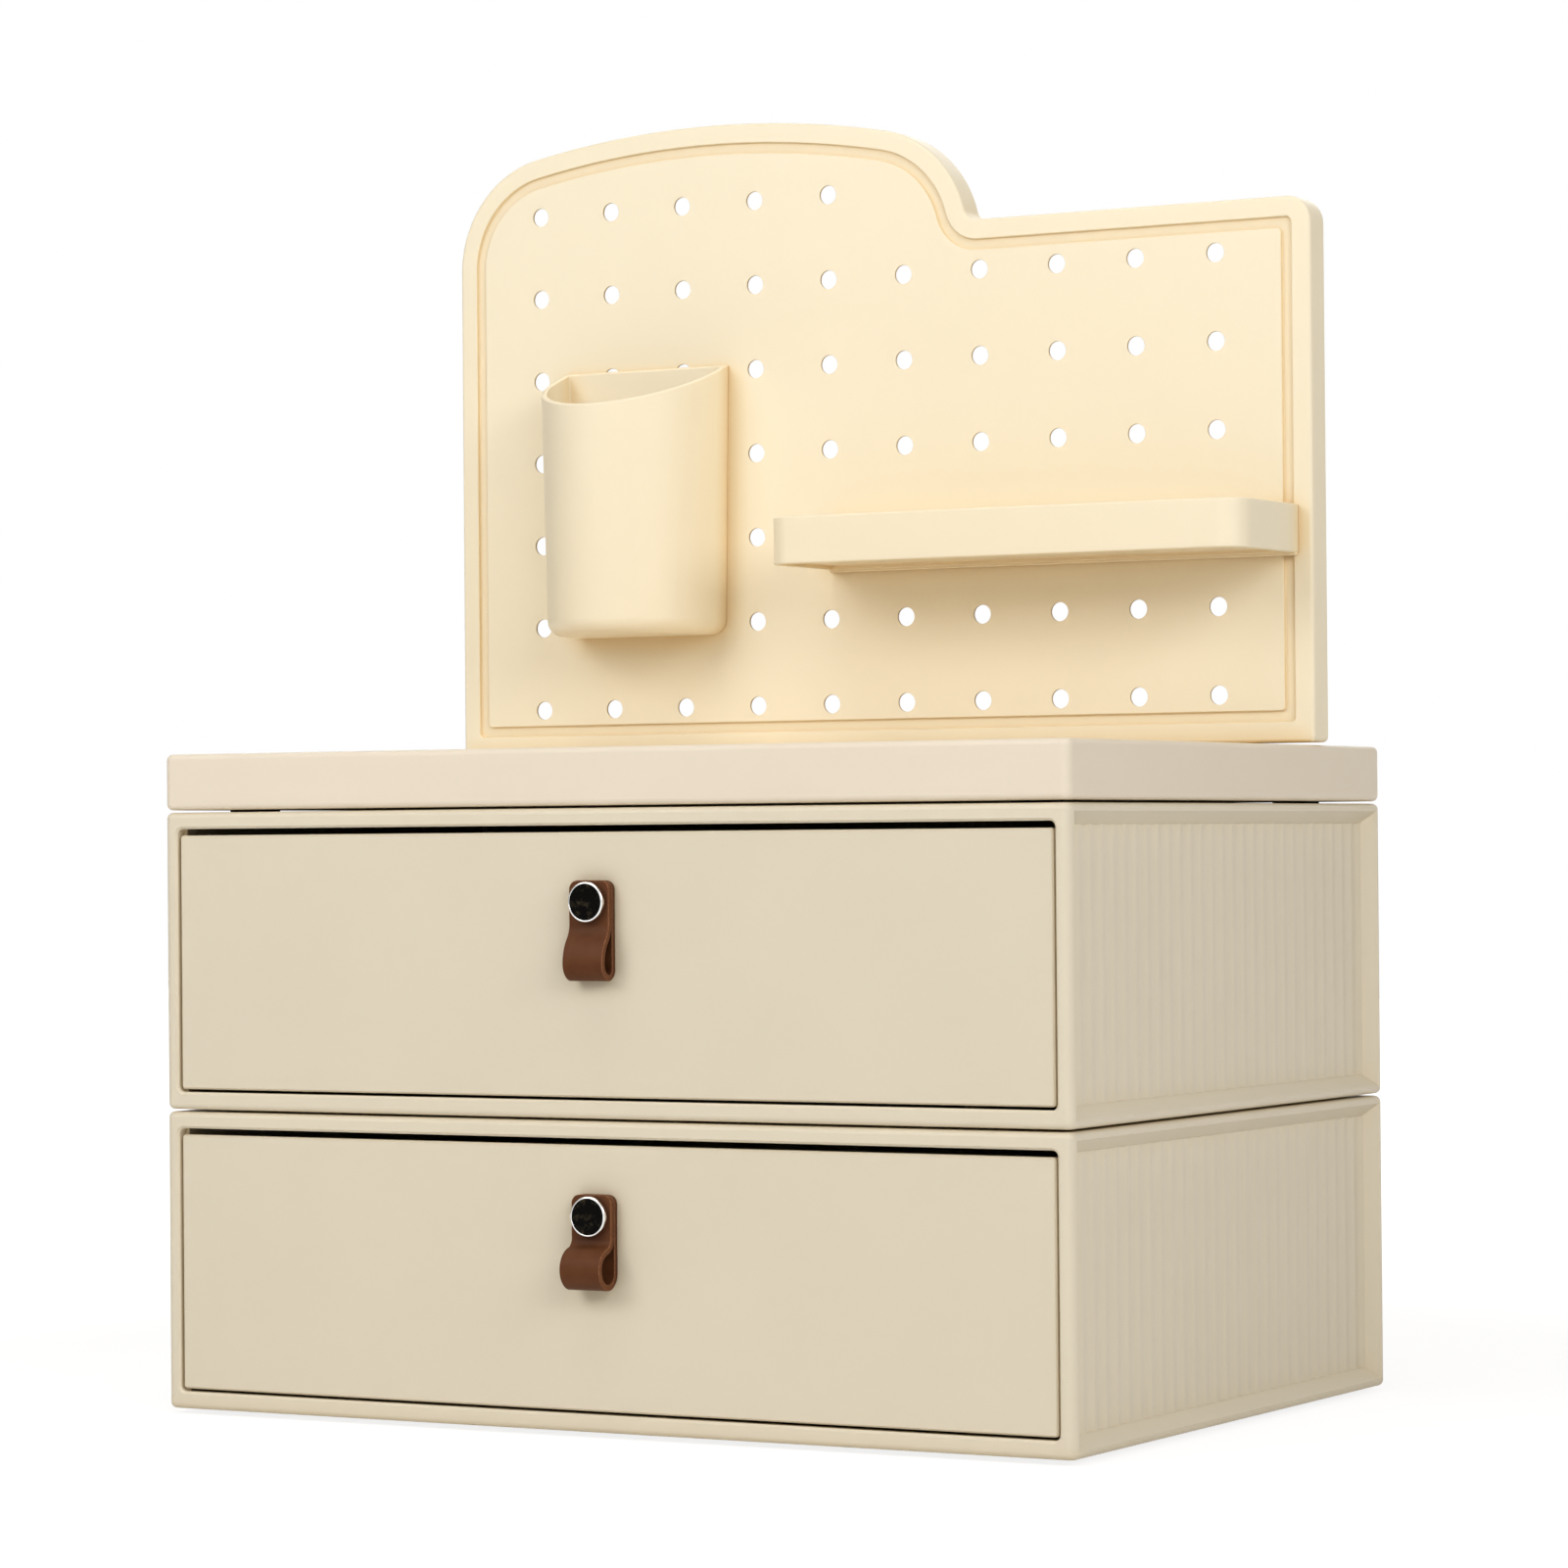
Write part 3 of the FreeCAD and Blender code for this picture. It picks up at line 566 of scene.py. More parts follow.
class Skin:
    """Mesh under construction, put together from grids of points.

    Attributes:
        weld: Distance within which points become one.
        least_edge: Length under which an edge is dissolved.
        sharp: Angle from which an edge stays sharp.
        block_steps: Faces across each round edge of a block.
        lathe_sides: Faces round a turned surface.
    """

    weld = 0.002 * MM
    least_edge = 0.001 * MM
    sharp = math.radians(50)
    block_steps = 3
    lathe_sides = 72

    def __init__(self, name: str) -> None:
        """Starts the piece of that name with no points."""
        self.name = name
        self.points: list[Array] = []
        self.faces: list[Array] = []
        self.marks: list[Array] = []
        self.count = 0

    def add(self, points: Array, faces: Array, mark: Array | float = 0.0) -> None:
        """Adds points and the faces between them.

        Args:
            points: Rows of three coordinates.
            faces: Rows of point numbers, counted from the first new point.
            mark: Value of the piece's mask at the points.
        """
        self.points.append(points)
        self.faces.append(faces + self.count)
        self.marks.append(np.broadcast_to(mark, len(points)).astype(float))
        self.count += len(points)

    def grid(self, points: Array, mark: Array | float = 0.0) -> None:
        """Adds a surface of quads between neighbouring points, whose last column joins the first.

        Args:
            points: Array of rows, columns and three coordinates.
            mark: Value of the piece's mask, one for all or one for each point.
        """
        rows, columns = points.shape[:2]
        number = np.arange(rows * columns).reshape(rows, columns)
        number = np.concatenate([number, number[:, :1]], axis=1)
        quads = np.stack([number[:-1, :-1], number[:-1, 1:], number[1:, 1:], number[1:, :-1]], axis=-1)
        mark = np.broadcast_to(mark, (rows, columns)).ravel()
        self.add(points.reshape(-1, 3), quads.reshape(-1, 4), mark)

    def closed(self, points: Array, mark: Array | None = None) -> None:
        """Adds a grid whose first and last rows are each drawn together in their middle.

        Args:
            points: Array of rows, columns and three coordinates.
            mark: Value of the piece's mask at each point, if any.
        """
        first, last = (np.broadcast_to(points[row].mean(axis=0), points[:1].shape) for row in (0, -1))
        marks = 0.0 if mark is None else np.concatenate([mark[:1], mark, mark[-1:]])
        self.grid(np.concatenate([first, points, last]), marks)

    def block(self, low: Vector, high: Vector, radius: float) -> None:
        """Adds a block with round edges and corners.

        It is a ball stretched by the block's size: each point of the ball is pushed out along
        each axis by half the block's side less the radius, to the side on which it lies.

        Args:
            low: Lowest corner.
            high: Highest corner.
            radius: Radius of the edges.
        """
        around, push_x, push_y = round_section(self.block_steps)
        quarter = np.linspace(0, QUARTER, self.block_steps + 1)
        rise = np.concatenate([quarter - QUARTER, quarter])
        push_z = np.repeat([-1, 1], len(quarter))
        middle = (np.array(low) + np.array(high)) / 2
        half = (np.array(high) - np.array(low)) / 2 - radius
        flat = np.cos(rise)[:, None] * radius
        x = middle[0] + half[0] * push_x + flat * np.cos(around)
        y = middle[1] + half[1] * push_y + flat * np.sin(around)
        z = (middle[2] + half[2] * push_z + radius * np.sin(rise))[:, None] + 0 * around
        self.closed(np.stack([x, y, z], axis=-1))

    def lathe(self, profile: Array, height: float) -> None:
        """Adds a profile turned about an axis that runs along Y in the middle plane.

        Args:
            profile: Rows of a radius and a place on Y.
            height: Height of the axis.
        """
        angle = np.linspace(0, 2 * math.pi, self.lathe_sides, endpoint=False)
        x = profile[:, :1] * np.cos(angle)
        y = profile[:, 1:] + 0 * angle
        z = height + profile[:, :1] * np.sin(angle)
        self.grid(np.stack([x, y, z], axis=-1))

    def finish(self, body: str, slot: Slot, nodes: list[str], mask: Mask | None = None) -> None:
        """Closes the mesh and makes the piece.

        Points in one place become one, faces turn outwards, and normals follow the larger faces
        so that flat areas stay flat beside their round edges.

        Args:
            body: Body that the piece rides on.
            slot: Slot of its finish.
            nodes: Nodes that it stands for.
            mask: Mask that its marks are kept as, if any.
        """
        mesh = bpy.data.meshes.new(self.name)
        faces = [row for part in self.faces for row in part.tolist()]
        mesh.from_pydata(np.concatenate(self.points), [], faces)
        if mask:
            layer = mesh.attributes.new(mask.value, "FLOAT", "POINT")
            layer.data.foreach_set("value", np.concatenate(self.marks).astype(np.float32))
        work = bmesh.new()
        work.from_mesh(mesh)
        bmesh.ops.remove_doubles(work, verts=work.verts, dist=self.weld)
        bmesh.ops.dissolve_degenerate(work, edges=work.edges, dist=self.least_edge)
        bmesh.ops.recalc_face_normals(work, faces=work.faces)
        open_edges = sum(1 for edge in work.edges if not edge.is_manifold)
        work.to_mesh(mesh)
        work.free()
        mesh.shade_smooth()
        mesh.set_sharp_from_angle(angle=self.sharp)
        piece = stand(self.name, mesh)
        weigh = piece.modifiers.new("flat_faces_lead", "WEIGHTED_NORMAL")
        weigh.keep_sharp = True
        mesh.materials.append(WARDROBE.material(slot))
        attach(piece, body)
        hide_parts(*nodes)
        LOG.info("%s: %d faces, %d open edges", self.name, len(mesh.polygons), open_edges)


@dataclass
class Pull:
    """Leather pull of a drawer with its stud.

    Attributes:
        unit: Drawer unit that it belongs to.
        depth: How far the loop stands out of the drawer's front.
        below: Reach of the loop below the stud.
        belly_below: Place below the stud where the loop is widest.
        width: Width of the strap.
        thickness: Thickness of the leather.
        above: Reach of the strap above the stud.
        corner: Radius of the strap's upper corners.
        bend_below: Place below the stud where the front leg leaves the back leg.
        turn_share: Share of the S that its hollow arc takes.
        fold_turn: Turn of the arc that leads into the fold.
        parting: Gap between the two legs behind the stud.
        round_edge: Radius of the leather's edges.
        ring_width: Width of the stud's bright ring.
        ring_lip: Radius of the ring's outer front edge.
        ring_inside: Radius of the ring's inner front edge.
        ring_bevel: Width of the bevel on the ring's rear.
        ring_edge: Radius of the bevel's edges and the neck's.
        seat_gap: Gap between the ring and the face, and radius of the seat's edge.
        neck: Half side of the stud's square neck.
        neck_root: Reach of the neck into the ring.
        crown: Rise of the face's middle.
    """

    unit: Unit
    depth: float
    below: float
    belly_below: float
    width: float = 15.0 * MM
    thickness: float = 2.0 * MM
    above: float = 6.9 * MM
    corner: float = 3.0 * MM
    bend_below: float = 7.0 * MM
    turn_share: float = 0.4
    fold_turn: float = math.radians(60)
    parting: float = 0.05 * MM
    round_edge: float = 0.45 * MM
    ring_width: float = 0.7 * MM
    ring_lip: float = 0.5 * MM
    ring_inside: float = 0.12 * MM
    ring_bevel: float = 0.5 * MM
    ring_edge: float = 0.3 * MM
    seat_gap: float = 0.05 * MM
    neck: float = 2.3 * MM
    neck_root: float = 0.4 * MM
    crown: float = 0.1 * MM

    def __post_init__(self) -> None:
        """Reads the stud's and the front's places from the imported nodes."""
        name = self.unit.value
        low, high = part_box(name + "_stud_cap")
        self.stud_z = (low.z + high.z) / 2
        self.front_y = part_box(name + "_pull_strap")[1].y
        self.body = name + "_drawer_assembly"

    def centreline(self) -> tuple[Array, Array]:
        """Middle line of the leather from the back leg's top round the fold to the front leg's top.

        A straight back leg runs into the fold's arc, a flatter cheek, the belly and the hollow of
        the S, and ends in the straight front leg. Every arc meets the next at one slope.

        Returns:
            Rows of the distance from the drawer's front and the height, and unit normals that
            point out of the loop.
        """
        half = self.thickness / 2
        belly_z = self.stud_z - self.belly_below
        bend_z = self.stud_z - self.bend_below
        leg = 3 * half + self.parting
        shift = self.depth - half - leg
        drop = self.belly_below - self.bend_below
        turn = 2 * math.atan(shift / drop)
        both = drop / math.sin(turn)
        hollow = self.turn_share * both
        belly = both - hollow
        spread = 1 / math.tan(self.fold_turn / 2)
        across = self.depth - 2 * half
        fall = self.below - half - self.belly_below
        fold = (across * spread - fall) / (2 * spread - 1)
        lead = (across - 2 * fold) / (1 - math.cos(self.fold_turn))
        cheek = fold + lead
        fold_z = belly_z - lead * math.sin(self.fold_turn)
        top_z = self.stud_z + self.above
        close = self.corner * (1 - np.cos(np.linspace(0, QUARTER, 9)))
        reach = np.concatenate([close, np.linspace(self.corner, top_z - fold_z, 16)[1:]])
        back = np.column_stack([np.full(len(reach), half), top_z - reach])
        reach = np.concatenate([close, np.linspace(self.corner, top_z - bend_z, 12)[1:]])
        front = np.column_stack([np.full(len(reach), leg), top_z - reach[::-1]])
        line = np.concatenate([
            back,
            arc_points((half + fold, fold_z), fold, math.pi, 2 * math.pi - self.fold_turn, 24)[1:],
            arc_points((self.depth - half - cheek, belly_z), cheek, -self.fold_turn, 0, 10)[1:],
            arc_points((self.depth - half - belly, belly_z), belly, 0, turn, 14)[1:],
            arc_points((leg + hollow, bend_z), hollow, math.pi + turn, math.pi, 14)[1:],
            front[1:],
        ])
        along = np.gradient(line, axis=0)
        along = along / np.linalg.norm(along, axis=1)[:, None]
        return line, np.column_stack([-along[:, 1], along[:, 0]])

    def strap(self) -> None:
        """Builds the strap: a band with round edges carried along the middle line.

        A section is a rectangle with round corners. Its half width at the distance d from an end
        is the full one less corner - sqrt(corner^2 - (corner - d)^2) where d is below the corner's
        radius, and its corners' radius shrinks in the same way, which rounds the end's edges. The
        mask is strongest on the middle of each round edge, where it paints a highlight, and weaker
        on the cut side, where it gives the paler cut leather.
        """
        line, normal = self.centreline()
        step = np.linalg.norm(np.diff(line, axis=0), axis=1)
        place = np.concatenate([[0], np.cumsum(step)])
        near = np.minimum(place, place[-1] - place)
        bite = np.clip(self.corner - near, 0, self.corner)
        half_width = self.width / 2 - (self.corner - np.sqrt(self.corner**2 - bite**2))
        edge = np.sqrt(self.round_edge**2 - np.clip(self.round_edge - near, 0, self.round_edge)**2)
        around, side, rise = round_section(5)
        across = (half_width - self.round_edge)[:, None] * side + edge[:, None] * np.cos(around)
        thick = (self.thickness / 2 - self.round_edge) * rise + edge[:, None] * np.sin(around)
        out = line[:, :1] + normal[:, :1] * thick
        height = line[:, 1:] + normal[:, 1:] * thick
        # Cut-edge mask: paler cut side, peaking on each round edge as a painted highlight.
        tone = np.clip(0.8 * np.sin(2 * around)**2 + 0.3 * np.cos(around)**2, 0, 1)
        tip = np.clip(1 - near / self.round_edge, 0, 1)[:, None]
        skin = Skin(self.unit.value + "_leather_strap")
        skin.closed(np.stack([across, self.front_y - out, height], axis=-1), np.maximum(tone, 0.5 * tip))
        skin.finish(self.body, Slot.STRAP, [self.unit.value + "_pull_strap"], Mask.CUT_EDGE_AND_HIGHLIGHT)

    def stud(self) -> None:
        """Builds the stud: a turned ring with a round lip, a square neck and a slightly domed face."""
        name = self.unit.value
        low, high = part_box(name + "_stud_cap")
        radius = (high.x - low.x) / 2
        rear = self.front_y - 2 * self.thickness
        floor_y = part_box(name + "_stud_inlay")[1].y
        face_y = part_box(name + "_stud_inlay")[0].y
        inner = radius - self.ring_width
        seat = inner + self.seat_gap
        profile = soften([
            (0, rear, 0), (radius - self.ring_bevel, rear, self.ring_edge),
            (radius, rear - self.ring_bevel, self.ring_edge), (radius, low.y, self.ring_lip),
            (seat, low.y, self.ring_inside), (seat, floor_y, self.seat_gap), (0, floor_y, 0),
        ], steps=6)
        ring = Skin(name + "_stud_ring")
        ring.lathe(profile, self.stud_z)
        ring.block(Vector((-self.neck, rear - self.neck_root, self.stud_z - self.neck)),
                   Vector((self.neck, high.y, self.stud_z + self.neck)), self.ring_edge)
        ring.finish(self.body, Slot.STUD, [name + "_stud_cap"])
        dome = arc_points((0, 0), 1, 0, QUARTER, 7)
        face = np.column_stack([inner * dome[:, 0], face_y + self.crown - self.crown * dome[:, 1]])
        disc = Skin(name + "_stud_face")
        disc.lathe(np.concatenate([[[0, floor_y], [inner, floor_y]], face]), self.stud_z)
        disc.finish(self.body, Slot.INLAY, [name + "_stud_inlay"])

    def build(self) -> None:
        """Builds the strap and the stud and dresses the screw."""
        self.strap()
        self.stud()
        WARDROBE.dress_node(self.unit.value + "_stud_screw", Slot.SCREW)


@dataclass
class DrawerUnit:
    """One drawer unit: housing, feet, drawer and pull.

    Attributes:
        pull: Its leather pull, which knows the unit.
    """

    pull: Pull

    def build(self) -> None:
        """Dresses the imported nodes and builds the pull."""
        name = self.pull.unit.value
        WARDROBE.dress_node(name + "_housing", Slot.HOUSING)
        WARDROBE.dress_node(name + "_drawer", Slot.DRAWER)
        WARDROBE.dress_node(name + "_feet", Slot.FOOT)
        self.pull.build()


@dataclass
class TopCover:
    """Cover that lies on the upper unit, with its feet.

    Attributes:
        cover: Node of the cover.
        feet: Node of its feet.
    """

    cover: str = "top_cover"
    feet: str = "cover_feet"

    def build(self) -> None:
        """Dresses the cover and its feet."""
        WARDROBE.dress_node(self.cover, Slot.COVER)
        WARDROBE.dress_node(self.feet, Slot.FOOT)


@dataclass
class PegBoard:
    """Board with an arch on the left, a shoulder on the right, a groove inside its rim and peg holes.

    Attributes:
        half_width: Half of the board's width.
        seam: Gap between the cover and the board's lower edge.
        depth: Depth of the flange from front to back.
        plate: Thickness of the plate.
        flange: Thickness of the flange.
        rim: Width of the rim outside the groove.
        groove: Width of the groove.
        sink: Depth of the groove.
        soft: Radius of the outer front edge.
        groove_edge: Radius of the groove's edges.
        flange_edge: Radius of the flange's outer rear edge and of its root.
        flange_lip: Radius of the flange's inner rear edge.
        border: Level strip inside the groove, in front.
        back_border: Level strip inside the flange, behind.
        foot: Radius of the lower corners.
        least_corner: Least radius of a corner that is moved inwards.
        shoulder: Height of the shoulder.
        shoulder_corner: Radius of the shoulder's corner.
        fillet: Radius of the hollow between the arch and the shoulder.
        spring: Height of the centres of the haunches' arcs.
        rise: Rise of the crown above those centres.
        half_span: Half of the arch's width.
        haunch: Radius of the haunches.
        hole: Radius of a peg hole.
        hole_edge: Radius of the holes' front edge.
        hole_land: Depth at which the holes begin to widen.
        land_edge: Radius of the edge there.
        hole_flare: How far the holes widen to the back.
        hole_sides: Faces round a hole.
        pitch: Distance between the holes' middles.
        columns: Holes in a full row.
        rows: Full rows.
        arch_columns: Holes in the short row in the arch.
        first_row: Height of the lowest row above the board's lower edge.
        tab_half: Half of a tab's width.
        tab_half_thick: Half of a tab's thickness.
        tab_edge: Radius of a tab's edges.
        tab_step: Distance between the tabs.
    """

    half_width: float = 170.0 * MM
    seam: float = 1.0 * MM
    depth: float = 12.0 * MM
    plate: float = 2.4 * MM
    flange: float = 2.5 * MM
    rim: float = 7.0 * MM
    groove: float = 3.7 * MM
    sink: float = 1.4 * MM
    soft: float = 1.3 * MM
    groove_edge: float = 0.45 * MM
    flange_edge: float = 0.8 * MM
    flange_lip: float = 0.6 * MM
    border: float = 1.5 * MM
    back_border: float = 2.5 * MM
    foot: float = 2.0 * MM
    least_corner: float = 1.5 * MM
    shoulder: float = 184.0 * MM
    shoulder_corner: float = 9.0 * MM
    fillet: float = 5.5 * MM
    spring: float = 178.2 * MM
    rise: float = 46.5 * MM
    half_span: float = 105.0 * MM
    haunch: float = 40.2 * MM
    hole: float = 3.3 * MM
    hole_edge: float = 0.2 * MM
    hole_land: float = 0.9 * MM
    land_edge: float = 0.15 * MM
    hole_flare: float = 0.9 * MM
    hole_sides: int = 32
    pitch: float = 30.0 * MM
    columns: int = 10
    rows: int = 6
    arch_columns: int = 5
    first_row: float = 16.4 * MM
    tab_half: float = 18.0 * MM
    tab_half_thick: float = 4.0 * MM
    tab_edge: float = 1.0 * MM
    tab_step: float = 120.0 * MM

    def __post_init__(self) -> None:
        """Reads the board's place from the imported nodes."""
        self.front_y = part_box("pegboard")[0].y
        self.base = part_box("top_cover")[1].z + self.seam
        self.tab_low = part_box("pegboard")[0].z

    def ring(self, inset: float) -> Array:
        """Outline of the board, moved inwards by the inset.

        Seven arcs in turn: the left foot, the left haunch, the flat crown, the right haunch, the
        concave fillet on the shoulder, the shoulder's corner and the right foot. An inset takes
        from the radius of a convex arc and adds to that of the concave one.

        Args:
            inset: Distance inside the outer edge.

        Returns:
            Rows of a place on X and a height above the board's lower edge.
        """
        run = self.half_span - self.haunch
        crown = (run**2 + self.rise**2 - self.haunch**2) / (2 * (self.rise - self.haunch))
        arch_x = self.half_span - self.half_width
        lean = math.atan2(run, crown - self.rise)
        fillet_z = self.shoulder + self.fillet
        climb = fillet_z - self.spring
        fillet_x = arch_x + run + math.sqrt((self.haunch + self.fillet)**2 - climb**2)
        meet = math.atan2(climb, fillet_x - arch_x - run)
        foot = max(self.foot - inset, self.least_corner)
        corner = max(self.shoulder_corner - inset, self.least_corner)
        side = self.half_width - inset
        low = inset + foot
        haunch = self.haunch - inset
        crown_z = self.spring + self.rise - crown
        return np.concatenate([
            arc_points((foot - side, low), foot, 3 * QUARTER, 2 * QUARTER, 7),
            arc_points((arch_x - run, self.spring), haunch, 2 * QUARTER, QUARTER + lean, 25),
            arc_points((arch_x, crown_z), crown - inset, QUARTER + lean, QUARTER - lean, 41)[1:],
            arc_points((arch_x + run, self.spring), haunch, QUARTER - lean, meet, 21)[1:],
            arc_points((fillet_x, fillet_z), self.fillet + inset, 2 * QUARTER + meet, 3 * QUARTER, 15)[1:],
            arc_points((side - corner, self.shoulder - inset - corner), corner, QUARTER, 0, 11),
            arc_points((side - foot, low), foot, 0, -QUARTER, 7),
        ])

    def at(self, flat: Array, depth: float) -> Array:
        """Puts rows of x and height into space, at a depth behind the front plane."""
        y = np.full(len(flat), self.front_y + depth)
        return np.column_stack([flat[:, 0], y, self.base + flat[:, 1]])

    def column_x(self, column: Array | int) -> Array | float:
        """Place on X of a column of holes."""
        return (column - (self.columns - 1) / 2) * self.pitch

    def hole_middles(self) -> Array:
        """Middles of the peg holes: full rows of columns, and a short row in the arch."""
        column = np.arange(self.columns)
        full = np.stack(np.meshgrid(column, np.arange(self.rows)), axis=-1).reshape(-1, 2)
        short = np.column_stack([column[:self.arch_columns], np.full(self.arch_columns, self.rows)])
        cell = np.concatenate([full, short])
        return np.column_stack([self.column_x(cell[:, 0]), self.first_row + cell[:, 1] * self.pitch])

    def sheet(self, skin: Skin, inset: float, depth: float, radius: float) -> None:
        """Adds the flat face inside an outline, with a gap for each hole.

        The face is cut by a constrained triangulation of the outline and the holes' edges, and
        the triangles whose middle lies in a hole are left out.

        Args:
            skin: Mesh that gets the face.
            inset: Inset of its outline.
            depth: Its depth behind the front plane.
            radius: Radius of the gaps.
        """
        middles = self.hole_middles()
        unit = arc_points((0, 0), radius, 0, 2 * math.pi, self.hole_sides + 1)[:-1]
        loops = [self.ring(inset), *(middles[:, None, :] + unit[None, :, :])]
        edges, start = [], 0
        for loop in loops:
            number = np.arange(len(loop)) + start
            edges.append(np.column_stack([number, np.roll(number, -1)]))
            start += len(loop)
        spots = [Vector(row) for row in np.concatenate(loops).tolist()]
        found = delaunay_2d_cdt(spots, np.concatenate(edges).tolist(), [], CDT_INSIDE, CDT_LIMIT)
        flat = np.array([tuple(spot) for spot in found[0]])
        faces = np.array(found[2])
        middle = flat[faces].mean(axis=1)
        gap = np.linalg.norm(middle[:, None, :] - middles[None, :, :], axis=2).min(axis=1)
        skin.add(self.at(flat, depth), faces[gap > radius * math.cos(math.pi / self.hole_sides)])

    def bores(self, skin: Skin, mouth: float, wide: float) -> None:
        """Adds the walls of the holes.

        The front edge's arc takes 0.98 of its room, so that no face beside it shrinks to nothing,
        and the mask marks what lies deeper than 0.9 of it, where the board's finish paints shade on the wall.

        Args:
            skin: Mesh that gets the walls.
            mouth: Radius of the front opening.
            wide: Radius of the rear opening.
        """
        bore = soften([(mouth, 0, 0), (self.hole, 0, self.hole_edge * 0.98),
                       (self.hole, self.hole_land, self.land_edge), (wide, self.plate, 0)], steps=3)
        radius, depth = bore[:, :1], bore[:, 1:]
        turn = np.linspace(0, 2 * math.pi, self.hole_sides, endpoint=False)
        # Mask for the painted shade on the holes' walls.
        inside = (depth > 0.9 * self.hole_edge) & (depth < self.plate)
        for x, height in self.hole_middles():
            ring_x = x + radius * np.cos(turn)
            ring_z = self.base + height + radius * np.sin(turn)
            skin.grid(np.stack([ring_x, self.front_y + depth + 0 * turn, ring_z], axis=-1), inside)

    def build(self) -> None:
        """Builds the board: its section carried round the outline, both faces, the holes and the tabs."""
        edge = self.groove_edge
        panel = self.rim + self.groove
        section = soften([
            (panel + self.border, 0, 0), (panel, 0, edge), (panel, self.sink, edge),
            (self.rim, self.sink, edge), (self.rim, 0, edge), (0, 0, self.soft),
            (0, self.depth, self.flange_edge), (self.flange, self.depth, self.flange_lip),
            (self.flange, self.plate, self.flange_edge), (self.flange + self.back_border, self.plate, 0),
        ])
        skin = Skin("peg_board")
        skin.grid(np.array([self.at(self.ring(inset), depth) for inset, depth in section]))
        mouth = self.hole + self.hole_edge
        wide = self.hole + self.hole_flare
        self.sheet(skin, *section[0], mouth)
        self.sheet(skin, *section[-1], wide)
        self.bores(skin, mouth, wide)
        middle_y = self.front_y + self.depth / 2
        for x in (-self.tab_step, 0.0, self.tab_step):
            low = Vector((x - self.tab_half, middle_y - self.tab_half_thick, self.tab_low))
            high = Vector((x + self.tab_half, middle_y + self.tab_half_thick, self.base + self.flange / 2))
            skin.block(low, high, self.tab_edge)
        skin.finish("board", Slot.BOARD, ["pegboard"], Mask.HOLE_WALL_SHADE)


@dataclass
class Hook:
    """Hook of what hangs on the board: a peg through the hole and a lip behind the plate.

    Attributes:
        half: Half of the hook's width.
        drop: How far the lip reaches below the peg.
        lip: Thickness of the lip.
        gap: Room between the hook and the board.
        lift: Room above the peg for lifting it out.
        hole: Radius of the hole that it fits.
        inside: How much thinner the peg is than the lip.
        edge: Radius of the edges.
    """

    half: float = 1.5 * MM
    drop: float = 1.8 * MM
    lip: float = 2.0 * MM
    gap: float = 0.25 * MM
    lift: float = 2.1 * MM
    hole: float = 2.9 * MM
    inside: float = 0.1 * MM
    edge: float = 0.4 * MM

    def add(self, skin: Skin, board: PegBoard, x: float, z: float, root_y: float) -> None:
        """Adds the hook at a hole.

        Args:
            skin: Mesh that gets the hook.
            board: The board that it hangs on.
            x: Place of the hole on X.
            z: Height of the hole.
            root_y: Place on Y where the peg starts inside the piece.
        """
        chord = math.sqrt(self.hole**2 - self.half**2)
        low = z - chord + self.gap
        high = z + chord - self.gap - self.lift
        lip_y = board.front_y + board.plate + self.gap
        peg = self.half - self.inside
        skin.block(Vector((x - peg, root_y, low)),
                   Vector((x + peg, lip_y + self.lip / 2, high - self.inside)), self.edge)
        skin.block(Vector((x - self.half, lip_y, low - self.drop)),
                   Vector((x + self.half, lip_y + self.lip, high)), self.edge)


@dataclass
class Hanger:
    """What hangs on the board by hooks.

    Attributes:
        board: The board that it hangs on.
        row: Row of its holes.
        columns: Columns of its holes.
        height: Height at the back.
        above_row: Reach of the rim above the holes' row.
        wall: Thickness of the wall.
        floor: Thickness of the floor.
        hook: Form of its hooks.
    """

    board: PegBoard
    row: int
    columns: tuple[int, int]
    height: float
    above_row: float
    wall: float
    floor: float
    hook: Hook = field(default_factory=Hook)

    def __post_init__(self) -> None:
        """Works out the place from the board."""
        self.hook_xs = [self.board.column_x(column) for column in self.columns]
        self.middle = sum(self.hook_xs) / 2
        self.row_z = self.board.base + self.board.first_row + self.row * self.board.pitch
        self.rim_z = self.row_z + self.above_row
        self.base = self.rim_z - self.height

    def hang(self, skin: Skin, back_y: float) -> None:
        """Adds the hooks, which start inside the wall that ends at the given place on Y."""
        for x in self.hook_xs:
            self.hook.add(skin, self.board, x, self.row_z, back_y - self.wall / 2)


